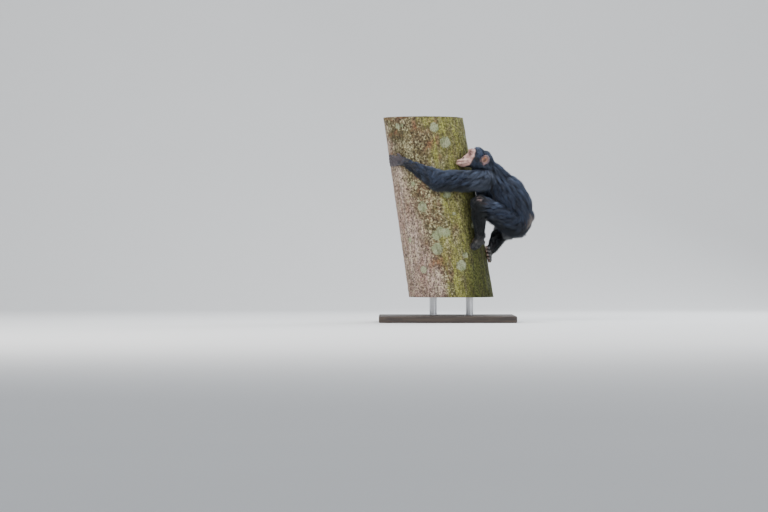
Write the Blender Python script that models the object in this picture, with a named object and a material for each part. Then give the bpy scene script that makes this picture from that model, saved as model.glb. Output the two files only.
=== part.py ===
"""A young chimpanzee clinging to the side of a leaning tree trunk, as a life-size museum
model: a cut length of the trunk is the perch, held by a plain stand with two short rods.

Metres, +Z up, the origin in the middle of the stand's underside. The animal faces -X, its
left side towards -Y. The body is a smooth blend of tapered limbs and rounded masses set
along a named skeleton, meshed on a fine grid half-way out to the tips of the coat. Flat
tapered locks that follow the lie of the hair carry it out to the tips, and thin cuts part
it into its nodes.
"""

import itertools
import math

import bmesh
import bpy
import numpy as np
from mathutils import Matrix, Vector

# Driving dimensions of the perch and the stand
TRUNK_LEAN = math.radians(8.96)     # the trunk leans towards -X on its way up
TRUNK_AXIS_X = 0.0365               # where the trunk's axis would meet the floor
TRUNK_RADIUS = 0.1857               # at the floor, square to the axis
TRUNK_TAPER = 0.0143                # radius lost for each metre of height
TRUNK_BOTTOM = 0.110                # the level cut that sits on the rods
TRUNK_TOP = 0.898
BASE_LENGTH = 0.60
BASE_DEPTH = 0.46
BASE_THICKNESS = 0.030
BASE_EDGE = 0.006
ROD_RADIUS = 0.016
ROD_SPACING = 0.16
GAP = 0.0003                        # kept between neighbouring nodes

# Driving dimensions of the animal
COAT_BODY = 0.016                   # depth of the coat from the skin to its tips
COAT_ARM = 0.016
COAT_WRIST = 0.006
COAT_THIGH = 0.015
COAT_ANKLE = 0.005
COAT_NECK = 0.014
COAT_CROWN = 0.009
CORE = 0.5                          # share of the coat's depth that the core below the locks holds
EYE_RADIUS = 0.0100
EAR_HEIGHT = 0.039
EAR_WIDTH = 0.035

HEAD_CENTRE = np.array((0.1455, -0.137, 0.7255))
HEAD_YAW = math.radians(10.0)       # the face turns this far from -X towards -Y
HEAD_PITCH = math.radians(12.0)     # and looks up by this much

# The locks of the coat: reach over the skin, width and thickness, and how close they are set
LOCK_REACH = 0.066
LOCK_WIDTH = 0.030
LOCK_THICKNESS = 0.0060
LOCK_SPACING = 0.043
LOCK_SINK = 0.009                   # how far below the core's surface a lock is rooted
LOCK_SAG = 0.35                     # how far its lie turns downwards
LOCK_LIMIT = 96

# Grid steps of the meshes, and the triangles that each mesh keeps
BODY_STEP = 0.0065
FINE_STEP = 0.0026
HEAD_STEP = 0.0020
BODY_TRIANGLES = 2860
HEAD_TRIANGLES = 3300
HAND_TRIANGLES = 720
FOOT_TRIANGLES = 640
EAR_TRIANGLES = 300


def vector(*values):
    return np.array(values, dtype=float)


# The trunk's surface, as a place to put hands and feet


def trunk_radius(height):
    return TRUNK_RADIUS - TRUNK_TAPER * height


def trunk_axis(height):
    return vector(TRUNK_AXIS_X - math.tan(TRUNK_LEAN) * height, 0.0, height)


def on_trunk(angle, height, lift):
    """The point at this height, `lift` off the bark; angle 0 is the +X side, 90 degrees is -Y."""
    radial_x = vector(math.cos(TRUNK_LEAN), 0.0, math.sin(TRUNK_LEAN))
    radial_y = vector(0.0, -1.0, 0.0)
    reach = trunk_radius(height) + lift
    level = height - reach * math.cos(angle) * math.sin(TRUNK_LEAN)
    return trunk_axis(level) + reach * (math.cos(angle) * radial_x + math.sin(angle) * radial_y)


def bark_patch(angle, height, turn, slope):
    """Maps (forward, sideways, lift) of a hand or foot that lies on the bark to a point.

    Forward runs round the trunk, with the angle for turn 1 and against it for turn -1, and
    climbs by `slope`. Sideways is to the upper side.
    """
    def place(forward, sideways, lift):
        along = forward * math.cos(slope) - sideways * math.sin(slope)
        up = forward * math.sin(slope) + sideways * math.cos(slope)
        return on_trunk(angle + turn * along / trunk_radius(height), height + up, lift)

    return place


# The skeleton: where the joints are

SPINE_TOP = vector(0.190, -0.062, 0.637)
CHEST = vector(0.203, -0.060, 0.6045)
RIBS = vector(0.2545, -0.050, 0.5530)
LOINS = vector(0.2787, -0.042, 0.5015)
PELVIS = vector(0.2957, -0.035, 0.4545)
TAIL = vector(0.3550, -0.050, 0.4620)
BREAST = vector(0.180, -0.062, 0.600)
BELLY = vector(0.187, -0.054, 0.562)
SKULL_BASE = vector(0.162, -0.116, 0.704)
NECK_BASE = vector(0.178, -0.096, 0.6995)
NECK_TOP = vector(0.172, -0.104, 0.711)
NECK_BASE_NORMAL = vector(0.0, 0.0, 1.0)
NECK_TOP_NORMAL = vector(-0.66, -0.20, 0.72)
SHOULDER_SHARE = 0.07                           # how far along the upper arm its cut lies
SHOULDER_NORMAL = {"left": vector(-0.70, -0.66, -0.25), "right": vector(-0.45, 0.89, 0.03)}
GROIN_SHARE = {"left": 0.40, "right": 0.20}     # how far along each thigh its cut lies
GROIN_NORMAL = {"left": vector(-0.57, -0.72, -0.40), "right": vector(-0.28, 0.91, -0.32)}
GROIN_BLADE = {"left": 0.105, "right": 0.080}
KNEE_FOLD = 0.035                               # how far each knee's cut is set into its fold

LEFT_HAND_PATCH = bark_patch(math.radians(126.5), 0.702, 1, math.radians(4))
RIGHT_HAND_PATCH = bark_patch(math.radians(-113.0), 0.700, -1, math.radians(20))
LEFT_FOOT_PATCH = bark_patch(math.radians(44.0), 0.345, -1, math.radians(36))
RIGHT_FOOT_PATCH = bark_patch(math.radians(-21.0), 0.303, 1, math.radians(-2))

JOINTS = {
    "left_shoulder": vector(0.150, -0.145, 0.628),
    "left_elbow": on_trunk(math.radians(85.0), 0.620, 0.035),
    "left_wrist": LEFT_HAND_PATCH(0.0, 0.0, 0.019),
    "right_shoulder": vector(0.172, 0.036, 0.640),
    "right_elbow": on_trunk(math.radians(-63.0), 0.652, 0.036),
    "right_wrist": RIGHT_HAND_PATCH(0.0, 0.0, 0.019),
    "left_hip": vector(0.284, -0.088, 0.446),
    "left_knee": vector(0.137, -0.166, 0.520),
    "left_ankle": vector(0.140, -0.146, 0.366),
    "right_hip": vector(0.300, 0.020, 0.441),
    "right_knee": vector(0.250, 0.172, 0.408),
    "right_ankle": RIGHT_FOOT_PATCH(0.006, 0.012, 0.034),
}


def limb_joints(side):
    """The six joints of one side's arm and leg, from the shoulder down."""
    names = ("shoulder", "elbow", "wrist", "hip", "knee", "ankle")
    return [JOINTS[side + "_" + name] for name in names]


def direction(start, end):
    return (end - start) / np.linalg.norm(end - start)


# Fields: negative inside, about the distance to the surface


def limb(points, start, end, start_radius, end_radius):
    """A limb that tapers between two joints, with round ends."""
    axis = end - start
    along = np.clip((points - start) @ axis / (axis @ axis), 0.0, 1.0)
    nearest = start + along[..., None] * axis
    radius = start_radius + (end_radius - start_radius) * along
    return np.linalg.norm(points - nearest, axis=-1) - radius


def ball(points, centre, radius):
    return np.linalg.norm(points - centre, axis=-1) - radius


def mass(points, centre, radii):
    """A rounded mass with its own radius along each axis of `points`."""
    offset = (points - centre) / radii
    length = np.linalg.norm(offset, axis=-1)
    steepness = np.linalg.norm(offset / radii, axis=-1)
    return length * (length - 1.0) / np.maximum(steepness, 1e-6)


def blend(first, second, width):
    """The two joined, with a hollow of about `width` filled where they meet."""
    share = np.clip(0.5 + 0.5 * (second - first) / width, 0.0, 1.0)
    return second + (first - second) * share - width * share * (1.0 - share)


def carve(first, second, width):
    """The first with the second taken away, the edge rounded."""
    return -blend(-first, second, width)


def torso_field(points, coat):
    """Chest, ribs, loins and pelvis, with the shoulder girdle and the seat."""
    body = coat * COAT_BODY
    chest = limb(points, CHEST, RIBS, 0.066 + body, 0.075 + body)
    waist = limb(points, RIBS, LOINS, 0.075 + body, 0.079 + body)
    hips = limb(points, LOINS, PELVIS, 0.079 + body, 0.060 + body)
    field = blend(blend(chest, waist, 0.03), hips, 0.03)
    belly = limb(points, BREAST, BELLY, 0.050 + body, 0.048 + body)
    field = blend(field, belly, 0.03)
    tail = limb(points, PELVIS, TAIL, 0.030 + body, 0.018 + body)
    field = blend(field, tail, 0.02)
    for side in ("left", "right"):
        shoulder = JOINTS[side + "_shoulder"]
        girdle = limb(points, SPINE_TOP, shoulder, 0.040 + body, 0.033 + body)
        field = blend(field, girdle, 0.035)
        seat = JOINTS[side + "_hip"] * 0.75 + PELVIS * 0.25 + vector(0.020, 0.0, -0.004)
        field = blend(field, ball(points, seat, 0.042 + body), 0.03)
    return field


def neck_field(points, coat):
    return limb(points, SPINE_TOP, SKULL_BASE, 0.040 + coat * COAT_NECK, 0.030 + coat * COAT_NECK)


def arm_field(points, side, coat):
    """Upper arm and forearm, the forearm fuller below the elbow."""
    shoulder = JOINTS[side + "_shoulder"]
    elbow = JOINTS[side + "_elbow"]
    wrist = JOINTS[side + "_wrist"]
    hair = coat * COAT_ARM
    bulge = elbow * 0.72 + wrist * 0.28
    upper = limb(points, shoulder, elbow, 0.036 + hair, 0.030 + hair)
    fore = limb(points, elbow, bulge, 0.028 + hair, 0.026 + hair * 0.9)
    thin = limb(points, bulge, wrist, 0.026 + hair * 0.9, 0.0145 + coat * COAT_WRIST)
    return blend(blend(upper, fore, 0.02), thin, 0.015)


def leg_field(points, side, coat):
    """Thigh and shank, with the calf behind the knee."""
    hip = JOINTS[side + "_hip"]
    knee = JOINTS[side + "_knee"]
    ankle = JOINTS[side + "_ankle"]
    hair = coat * COAT_THIGH
    calf = knee * 0.66 + ankle * 0.34
    thigh = limb(points, hip, knee, 0.045 + hair, 0.027 + hair)
    upper = limb(points, knee, calf, 0.026 + hair * 0.9, 0.024 + hair * 0.8)
    lower = limb(points, calf, ankle, 0.024 + hair * 0.8, 0.0155 + coat * COAT_ANKLE)
    return blend(blend(thigh, upper, 0.014), lower, 0.015)


def part_fields(points, coat):
    """The torso with each limb in turn. Limbs blend with the torso, not with each other."""
    torso = torso_field(points, coat)
    fields = [blend(torso, neck_field(points, coat), 0.03)]
    for side in ("left", "right"):
        fields.append(blend(torso, arm_field(points, side, coat), 0.022))
        fields.append(blend(torso, leg_field(points, side, coat), 0.018))
    return fields


def body_field(points, coat):
    """All but the head, hands and feet."""
    return np.minimum.reduce(part_fields(points, coat))


# Hands and feet, in the frame of the bark that they grip: (forward, sideways, lift)

FINGER_RADIUS = 0.0064
TOE_RADIUS = 0.0074


def bent_digit(points, patch, knots, radius, tip_radius):
    """A digit through its joints, tapering to the tip."""
    field = None
    count = len(knots) - 1
    for index in range(count):
        start = radius + (tip_radius - radius) * index / count
        end = radius + (tip_radius - radius) * (index + 1) / count
        bone = limb(points, patch(*knots[index]), patch(*knots[index + 1]), start, end)
        field = bone if field is None else blend(field, bone, 0.004)
    return field


def hand_field(points, side, patch):
    """Palm on the bark, four fingers bent over it, the thumb held to the upper side."""
    wrist = JOINTS[side + "_wrist"]
    field = limb(points, wrist, patch(0.012, 0.0, 0.017), 0.0150, 0.0150)
    for spread in (-0.010, 0.0, 0.010):
        heel, knuckle = patch(0.010, spread * 0.5, 0.014), patch(0.046, spread, 0.0135)
        field = blend(field, limb(points, heel, knuckle, 0.0115, 0.0100), 0.008)
    for number in range(4):
        across = -0.0177 + 0.0118 * number
        reach = 0.051 + 0.003 * (number in (1, 2))
        knots = (
            (reach - 0.010, across * 0.92, 0.0150),
            (reach + 0.009, across * 1.00, 0.0180),
            (reach + 0.030, across * 1.08, 0.0150),
            (reach + 0.042, across * 1.12, 0.0065),
        )
        finger = bent_digit(points, patch, knots, FINGER_RADIUS, 0.0052)
        field = blend(field, finger, 0.005)
    knots = ((0.012, 0.010, 0.013), (0.025, 0.023, 0.011), (0.036, 0.031, 0.0075))
    thumb = bent_digit(points, patch, knots, 0.0074, 0.0055)
    return blend(field, thumb, 0.006)


def foot_field(points, side, patch):
    """Heel and sole on the bark, four toes, the big toe set off to the lower side."""
    ankle = JOINTS[side + "_ankle"]
    field = limb(points, ankle, patch(-0.004, 0.0, 0.024), 0.0165, 0.0175)
    heel = limb(points, patch(-0.022, 0.0, 0.0150), patch(0.010, 0.0, 0.0160), 0.0160, 0.0170)
    field = blend(field, heel, 0.012)
    for spread in (-0.010, 0.010):
        back, front = patch(0.010, spread * 0.6, 0.0150), patch(0.062, spread, 0.0125)
        field = blend(field, limb(points, back, front, 0.0140, 0.0110), 0.012)
    for number in range(4):
        across = -0.0160 + 0.0140 * number
        reach = 0.068 - 0.0025 * abs(number - 1)
        knots = (
            (reach - 0.012, across * 0.90, 0.0120),
            (reach + 0.010, across * 1.06, 0.0145),
            (reach + 0.027, across * 1.14, 0.0120),
            (reach + 0.035, across * 1.16, 0.0065),
        )
        toe = bent_digit(points, patch, knots, TOE_RADIUS, 0.0056)
        field = blend(field, toe, 0.005)
    knots = ((0.026, -0.012, 0.0130), (0.046, -0.028, 0.0125), (0.061, -0.036, 0.0080))
    hallux = bent_digit(points, patch, knots, 0.0105, 0.0078)
    return blend(field, hallux, 0.008)


# The head, in its own frame: (forward, to the animal's left, up) from the head's centre

FORWARD = vector(
    -math.cos(HEAD_YAW) * math.cos(HEAD_PITCH),
    -math.sin(HEAD_YAW) * math.cos(HEAD_PITCH),
    math.sin(HEAD_PITCH),
)
LEFTWARD = vector(math.sin(HEAD_YAW), -math.cos(HEAD_YAW), 0.0)
UPWARD = np.cross(FORWARD, LEFTWARD)
HEAD_AXES = np.stack((FORWARD, LEFTWARD, UPWARD))

EYE_CENTRE = vector(0.0425, 0.0190, 0.000)
NOSTRIL = vector(0.0775, 0.0098, -0.0258)
BROW = (vector(0.0515, 0.0, 0.0130), vector(0.0490, 0.019, 0.0150), vector(0.037, 0.034, 0.0095))
MOUTH_CORNER = vector(0.0590, 0.0250, -0.0350)
MOUTH_FRONT = vector(0.0965, 0.0, -0.0500)
EAR_ROOT = vector(-0.0036, 0.0450, -0.0185)


def from_head(place):
    return HEAD_CENTRE + place @ HEAD_AXES


def in_head(points):
    return (points - HEAD_CENTRE) @ HEAD_AXES.T


def mouth_line(count):
    """Points along the left half of the mouth, from its corner to the front."""
    points = []
    for step in range(count + 1):
        turn = 0.5 * math.pi * step / count
        forward = MOUTH_CORNER[0] + (MOUTH_FRONT[0] - MOUTH_CORNER[0]) * math.sin(turn)
        side = MOUTH_CORNER[1] * math.cos(turn) ** 0.8
        share = step / count
        height = MOUTH_CORNER[2] + (MOUTH_FRONT[2] - MOUTH_CORNER[2]) * share ** 0.8
        points.append(vector(forward, side, height))
    return points


def eyelid(count, top):
    """Points along one lid of the left eye, from the inner to the outer corner."""
    points = []
    for step in range(count + 1):
        turn = math.pi * step / count
        side = EYE_CENTRE[1] - 0.0098 * math.cos(turn)
        rise = (0.0056 if top else -0.0048) * math.sin(turn)
        reach = math.sqrt(max(0.0114 ** 2 - (0.0098 * math.cos(turn)) ** 2 - rise ** 2, 0.0))
        points.append(vector(EYE_CENTRE[0] + reach, side, EYE_CENTRE[2] + rise))
    return points


def head_field(world, coat):
    """Skull and face. Both halves are alike, so the side is measured without its sign."""
    points = in_head(world)
    points[..., 1] = np.sqrt(points[..., 1] ** 2 + 0.0006 ** 2)
    hair = coat * COAT_CROWN
    skull_radii = vector(0.0290, 0.0410, 0.0315) + hair
    field = mass(points, vector(0.0180, 0.0, 0.0), skull_radii)
    back_radii = vector(0.0280, 0.0385, 0.0275) + hair
    field = blend(field, mass(points, vector(-0.0120, 0.0, -0.0065), back_radii), 0.010)
    nape_radii = vector(0.024, 0.031, 0.026) + hair
    field = blend(field, mass(points, vector(-0.012, 0.0, -0.026), nape_radii), 0.012)
    jowl_back, jowl_front = vector(0.002, 0.027, -0.022), vector(0.034, 0.020, -0.036)
    jowl = limb(points, jowl_back, jowl_front, 0.014 + hair, 0.010 + hair)
    field = blend(field, jowl, 0.015)
    face = mass(points, vector(0.028, 0.0, -0.010), vector(0.025, 0.036, 0.034))
    field = blend(field, face, 0.012)
    muzzle = mass(points, vector(0.0560, 0.0, -0.0385), vector(0.0270, 0.0270, 0.0185))
    lips = mass(points, vector(0.0775, 0.0, -0.0470), vector(0.0205, 0.0215, 0.0155))
    muzzle = blend(muzzle, lips, 0.012)
    jaw = limb(points, vector(0.026, 0.010, -0.040), vector(0.0770, 0.004, -0.0515), 0.0160, 0.0105)
    field = blend(field, blend(muzzle, jaw, 0.008), 0.014)
    brow_middle, brow_peak, brow_end = BROW
    brow = limb(points, brow_middle, brow_peak, 0.0066, 0.0074)
    brow = blend(brow, limb(points, brow_peak, brow_end, 0.0074, 0.0055), 0.004)
    field = blend(field, brow, 0.012)
    cheek = limb(points, vector(0.043, 0.024, -0.0150), vector(0.024, 0.038, -0.0120), 0.0085, 0.0075)
    field = blend(field, cheek, 0.012)
    opening = EYE_CENTRE + vector(0.012, 0.0, 0.0)
    socket = limb(points, opening, opening + vector(0.012, 0.003, -0.002), 0.0085, 0.0105)
    field = carve(field, socket, 0.008)
    bridge = limb(points, vector(0.0500, 0.0, 0.004), vector(0.0700, 0.0, -0.0225), 0.0058, 0.0075)
    field = blend(field, bridge, 0.008)
    wing = limb(points, vector(0.0695, 0.0055, -0.0235), vector(0.0720, 0.0100, -0.0270), 0.0062, 0.0050)
    field = blend(field, wing, 0.004)
    for top in (True, False):
        lid = eyelid(6, top)
        for start, end in zip(lid, lid[1:]):
            field = blend(field, limb(points, start, end, 0.0019, 0.0019), 0.0030)
    line = mouth_line(6)
    for start, end in zip(line, line[1:]):
        for rise in (0.0040, -0.0042):
            lift = vector(-0.0022, -0.0018, rise)
            field = blend(field, limb(points, start + lift, end + lift, 0.0042, 0.0042), 0.007)
    for start, end in zip(line, line[1:]):
        before, after = start + vector(0.0030, 0.0020, 0.0), end + vector(0.0045, 0.0, 0.0)
        groove = limb(points, before, after, 0.0019, 0.0019)
        field = carve(field, groove, 0.0022)
    nostril = limb(points, NOSTRIL, NOSTRIL + vector(-0.007, -0.002, 0.001), 0.0030, 0.0020)
    return carve(field, nostril, 0.0015)


def ear_frame():
    """The left ear's root and axes: out along the ear, up it, and towards what it hears."""
    out = vector(-0.80, 0.60, 0.0)
    out = out / np.linalg.norm(out)
    up = vector(-0.10, 0.0, 1.0)
    up = up - out * (up @ out)
    up = up / np.linalg.norm(up)
    return np.stack((out, up, np.cross(out, up)))


def ear_field(world, side):
    """A rounded cup with a rolled rim, a lobe, and the small flap before the canal."""
    points = in_head(world)
    points[..., 1] *= side
    points = (points - EAR_ROOT) @ ear_frame().T
    middle = vector(0.5 * EAR_WIDTH - 0.005, 0.003, 0.0)
    half_width = 0.5 * EAR_WIDTH
    half_height = 0.5 * EAR_HEIGHT
    field = mass(points, middle, vector(half_width, half_height, 0.0065))
    rim = []
    for turn in np.radians(np.linspace(-95.0, 180.0, 15)):
        across = (half_width - 0.002) * math.cos(turn)
        above = (half_height - 0.002) * math.sin(turn)
        rim.append(middle + vector(across, above, 0.0035))
    for start, end in zip(rim, rim[1:]):
        field = blend(field, limb(points, start, end, 0.0031, 0.0031), 0.003)
    cup = vector(half_width - 0.0065, half_height - 0.0065, 0.0095)
    field = carve(field, mass(points, middle + vector(-0.003, 0.001, 0.0078), cup), 0.002)
    lobe = mass(points, vector(0.010, -half_height + 0.004, 0.002), vector(0.0085, 0.0070, 0.0042))
    field = blend(field, lobe, 0.003)
    flap = limb(points, vector(0.001, -0.004, 0.005), vector(0.002, -0.010, 0.005), 0.0036, 0.0030)
    field = blend(field, flap, 0.003)
    root = limb(points, vector(-0.008, 0.004, -0.002), vector(0.006, 0.000, -0.001), 0.0120, 0.0060)
    return blend(field, root, 0.004)


# Meshing a field on a grid


def grid_mesh(name, field, low, high, step):
    """The closed surface where the field is zero.

    Each cell of the grid is split into six tetrahedra, and the cuts through these always meet,
    so that the surface closes. The rim of the grid counts as outside.
    """
    axes = [np.arange(low[axis], high[axis] + step, step) for axis in range(3)]
    places = np.stack(np.meshgrid(*axes, indexing="ij"), axis=-1)
    values = field(places)
    rim = np.ones(values.shape, bool)
    rim[1:-1, 1:-1, 1:-1] = False
    values[rim] = np.maximum(values[rim], step)
    places = places.reshape(-1, 3)
    strides = np.array((values.shape[1] * values.shape[2], values.shape[2], 1))
    cells = (np.array(values.shape) - 1).tolist()
    first = np.indices(cells).reshape(3, -1).T @ strides
    values = values.reshape(-1)

    edges, corners = [], []
    for order in itertools.permutations(range(3)):
        steps = np.cumsum([0] + [strides[axis] for axis in order])
        number = first[:, None] + steps
        inside = values[number] < 0.0
        count = inside.sum(axis=1)
        mixed = (count > 0) & (count < 4)
        number, inside, count = number[mixed], inside[mixed], count[mixed]
        number = np.take_along_axis(number, np.argsort(~inside, axis=1, kind="stable"), axis=1)
        for size, ring in (
            (1, ((0, 1), (0, 2), (0, 3))),
            (2, ((0, 2), (1, 2), (1, 3))),
            (2, ((0, 2), (1, 3), (0, 3))),
            (3, ((0, 3), (1, 3), (2, 3))),
        ):
            chosen = number[count == size]
            edges.append(np.stack([chosen[:, pair] for pair in ring], axis=1))
            outward = places[chosen[:, size:]].mean(axis=1) - places[chosen[:, :size]].mean(axis=1)
            corners.append(outward)
    edges = np.concatenate(edges).reshape(-1, 2)
    outward = np.concatenate(corners)
    keys, index = np.unique(edges[:, 0] * len(values) + edges[:, 1], return_inverse=True)
    start, end = keys // len(values), keys % len(values)
    share = np.clip(values[start] / (values[start] - values[end]), 0.06, 0.94)[:, None]
    vertices = places[start] * (1.0 - share) + places[end] * share
    faces = index.reshape(-1, 3)
    sides = vertices[faces]
    normal = np.cross(sides[:, 1] - sides[:, 0], sides[:, 2] - sides[:, 0])
    wrong = (normal * outward).sum(axis=1) < 0.0
    faces[wrong] = faces[wrong][:, ::-1]
    mesh = bpy.data.meshes.new(name)
    mesh.from_pydata(vertices.tolist(), [], faces.tolist())
    return new_object(name, mesh)


# Blender helpers


def new_object(name, mesh):
    item = bpy.data.objects.new(name, mesh)
    bpy.context.scene.collection.objects.link(item)
    return item


def apply_modifiers(item):
    """Replaces the mesh by what its modifiers make of it."""
    graph = bpy.context.evaluated_depsgraph_get()
    graph.update()
    mesh = bpy.data.meshes.new_from_object(item.evaluated_get(graph))
    item.modifiers.clear()
    item.data = mesh


def thin_out(item, triangles):
    """Keeps about this many triangles, fewest where the surface is flat."""
    mesh = item.data
    present = sum(len(polygon.vertices) - 2 for polygon in mesh.polygons)
    modifier = item.modifiers.new("Decimate", "DECIMATE")
    modifier.ratio = min(1.0, triangles / present)
    modifier.use_collapse_triangulate = True
    apply_modifiers(item)


def combine(item, other, operation):
    """One Boolean step with the fast solver, as both meshes are closed."""
    modifier = item.modifiers.new("Boolean", "BOOLEAN")
    modifier.object = other
    modifier.operation = operation
    modifier.solver = "MANIFOLD"
    apply_modifiers(item)


def remove(item):
    bpy.data.objects.remove(item)


def swollen_copy(item, distance):
    """A copy grown by the distance along its normals."""
    copy = new_object(item.name + "_clearance", item.data.copy())
    modifier = copy.modifiers.new("Displace", "DISPLACE")
    modifier.strength = distance
    modifier.mid_level = 0.0
    apply_modifiers(copy)
    return copy


def clear_of(item, neighbour, distance=GAP):
    """Cuts the item back to keep the gap to its neighbour."""
    cutter = swollen_copy(neighbour, distance)
    combine(item, cutter, "DIFFERENCE")
    remove(cutter)


def half_space(point, normal, size):
    """A cube whose one face lies in the plane, on the side that the normal points to."""
    turn = Vector(normal).to_track_quat("Z", "Y").to_matrix().to_4x4()
    mesh = bpy.data.meshes.new("half_space")
    work = bmesh.new()
    place = Matrix.Translation(Vector(point)) @ turn @ Matrix.Translation((0.0, 0.0, 0.5 * size))
    bmesh.ops.create_cube(work, size=size, matrix=place)
    work.to_mesh(mesh)
    work.free()
    return new_object("half_space", mesh)


def keep_side(item, point, normal, size=0.4):
    """Keeps what lies on the normal's side of the plane, half the gap away from it."""
    normal = np.array(normal) / np.linalg.norm(normal)
    keeper = half_space(point + normal * 0.5 * GAP, normal, size)
    combine(item, keeper, "INTERSECT")
    remove(keeper)


def loose_pieces(item):
    """The closed surfaces of a mesh, each as a list of its faces."""
    work = bmesh.new()
    work.from_mesh(item.data)
    left = set(work.verts)
    pieces = []
    while left:
        stack = [left.pop()]
        found = [stack[0]]
        while stack:
            for edge in stack.pop().link_edges:
                for vertex in edge.verts:
                    if vertex in left:
                        left.discard(vertex)
                        stack.append(vertex)
                        found.append(vertex)
        pieces.append(found)
    result = []
    for found in pieces:
        order = {vertex: number for number, vertex in enumerate(found)}
        faces = {face for vertex in found for face in vertex.link_faces}
        faces = sorted(faces, key=lambda face: face.index)
        coordinates = [tuple(vertex.co) for vertex in found]
        result.append((coordinates, [[order[vertex] for vertex in face.verts] for face in faces]))
    work.free()
    return result


def piece_volume(piece):
    """The signed volume that a closed piece holds."""
    coordinates = np.array(piece[0])
    total = 0.0
    for face in piece[1]:
        first = coordinates[face[0]]
        for second, third in zip(face[1:], face[2:]):
            total += first @ np.cross(coordinates[second], coordinates[third]) / 6.0
    return total


def keep_largest(item):
    """Drops loose scraps and sealed hollows."""
    largest = max(loose_pieces(item), key=piece_volume)
    mesh = bpy.data.meshes.new(item.name)
    mesh.from_pydata(largest[0], [], largest[1])
    for material in item.data.materials:
        mesh.materials.append(material)
    item.data = mesh


def finish(item, material, smooth=True):
    """Names the mesh, gives it its material and its shading."""
    item.data.name = item.name
    item.data.materials.clear()
    item.data.materials.append(material)
    if smooth:
        item.data.shade_smooth()
        item.data.set_sharp_from_angle(angle=math.radians(50))


def material_of(name, colour, roughness, metallic=0.0):
    material = bpy.data.materials.new(name)
    material.use_nodes = True
    shader = material.node_tree.nodes["Principled BSDF"]
    shader.inputs["Base Color"].default_value = (*colour, 1.0)
    shader.inputs["Roughness"].default_value = roughness
    shader.inputs["Metallic"].default_value = metallic
    return material


# The perch and the stand


def trunk_mesh(name, bottom, rings, sides, relief):
    """Level rings round the leaning axis, closed by level ends. `relief` is added to the radius."""
    work = bmesh.new()
    rows = []
    for ring in range(rings + 1):
        height = bottom + (TRUNK_TOP - bottom) * ring / rings
        row = []
        for side in range(sides):
            angle = 2.0 * math.pi * side / sides
            radius = trunk_radius(height) + relief(angle, ring)
            x = trunk_axis(height)[0] + radius * math.cos(angle) / math.cos(TRUNK_LEAN)
            row.append(work.verts.new((x, -radius * math.sin(angle), height)))
        rows.append(row)
    for low, high in zip(rows, rows[1:]):
        for side in range(sides):
            after = (side + 1) % sides
            work.faces.new((low[side], high[side], high[after], low[after]))
    work.faces.new(rows[0])
    work.faces.new(rows[-1][::-1])
    bmesh.ops.recalc_face_normals(work, faces=work.faces)
    bmesh.ops.triangulate(work, faces=[face for face in work.faces if len(face.verts) > 4])
    mesh = bpy.data.meshes.new(name)
    work.to_mesh(mesh)
    work.free()
    return new_object(name, mesh)


def bark_relief(angle, ring):
    """Broad, shallow flutes that wander up the trunk."""
    wave = 0.0016 * math.sin(5 * angle + 1.3 * ring) + 0.0010 * math.sin(11 * angle - 2.1 * ring)
    return wave - 0.0016


def clearance_relief(angle, ring):
    """Just outside the flutes, all round."""
    return 0.0012 + GAP


def round_bar(name, place, radius, length):
    work = bmesh.new()
    bmesh.ops.create_cone(
        work, cap_ends=True, segments=24, radius1=radius, radius2=radius, depth=length, matrix=place
    )
    mesh = bpy.data.meshes.new(name)
    work.to_mesh(mesh)
    work.free()
    return new_object(name, mesh)


def make_stand(metal, board):
    """A flat base with eased edges and two short rods up to the trunk's lower end."""
    work = bmesh.new()
    place = Matrix.Translation((0.0, 0.0, 0.5 * BASE_THICKNESS))
    size = Matrix.Diagonal((BASE_LENGTH, BASE_DEPTH, BASE_THICKNESS, 1.0))
    bmesh.ops.create_cube(work, size=1.0, matrix=place @ size)
    mesh = bpy.data.meshes.new("stand_base")
    work.to_mesh(mesh)
    work.free()
    base = new_object("stand_base", mesh)
    bevel = base.modifiers.new("Bevel", "BEVEL")
    bevel.width = BASE_EDGE
    bevel.segments = 3
    apply_modifiers(base)
    finish(base, board, smooth=False)
    height = TRUNK_BOTTOM - BASE_THICKNESS - 2.0 * GAP
    for number, shift in enumerate((-0.5, 0.5)):
        name = f"stand_rod_{number + 1}"
        x = trunk_axis(TRUNK_BOTTOM)[0] + shift * ROD_SPACING
        place = Matrix.Translation((x, 0.0, BASE_THICKNESS + GAP + 0.5 * height))
        finish(round_bar(name, place, ROD_RADIUS, height), metal)


# The coat's locks


def steepest(field, points, step=0.0015):
    """The direction in which the field grows fastest, that is out of the surface."""
    slopes = []
    for axis in range(3):
        shift = np.zeros(3)
        shift[axis] = step
        slopes.append(field(points + shift) - field(points - shift))
    slopes = np.stack(slopes, axis=-1)
    return slopes / np.maximum(np.linalg.norm(slopes, axis=-1, keepdims=True), 1e-9)


def lie(points):
    """The way that the hair lies: down the back and the legs, and to the elbow from both ends."""
    tracts = [(CHEST, PELVIS, 0.075), (SKULL_BASE, CHEST, 0.045)]
    for side in ("left", "right"):
        shoulder, elbow, wrist, hip, knee, ankle = limb_joints(side)
        tracts += [(shoulder, elbow, 0.035), (wrist, elbow, 0.025)]
        tracts += [(hip, knee, 0.040), (knee, ankle, 0.022)]
    total = np.zeros(points.shape)
    for start, end, radius in tracts:
        away = limb(points, start, end, radius, radius * 0.99)
        weight = np.exp(-np.clip(away, -0.02, 0.4) / 0.012)
        total += weight[..., None] * direction(start, end)
    total /= np.maximum(np.linalg.norm(total, axis=-1, keepdims=True), 1e-9)
    return total + vector(0.0, 0.0, -LOCK_SAG)


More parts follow.
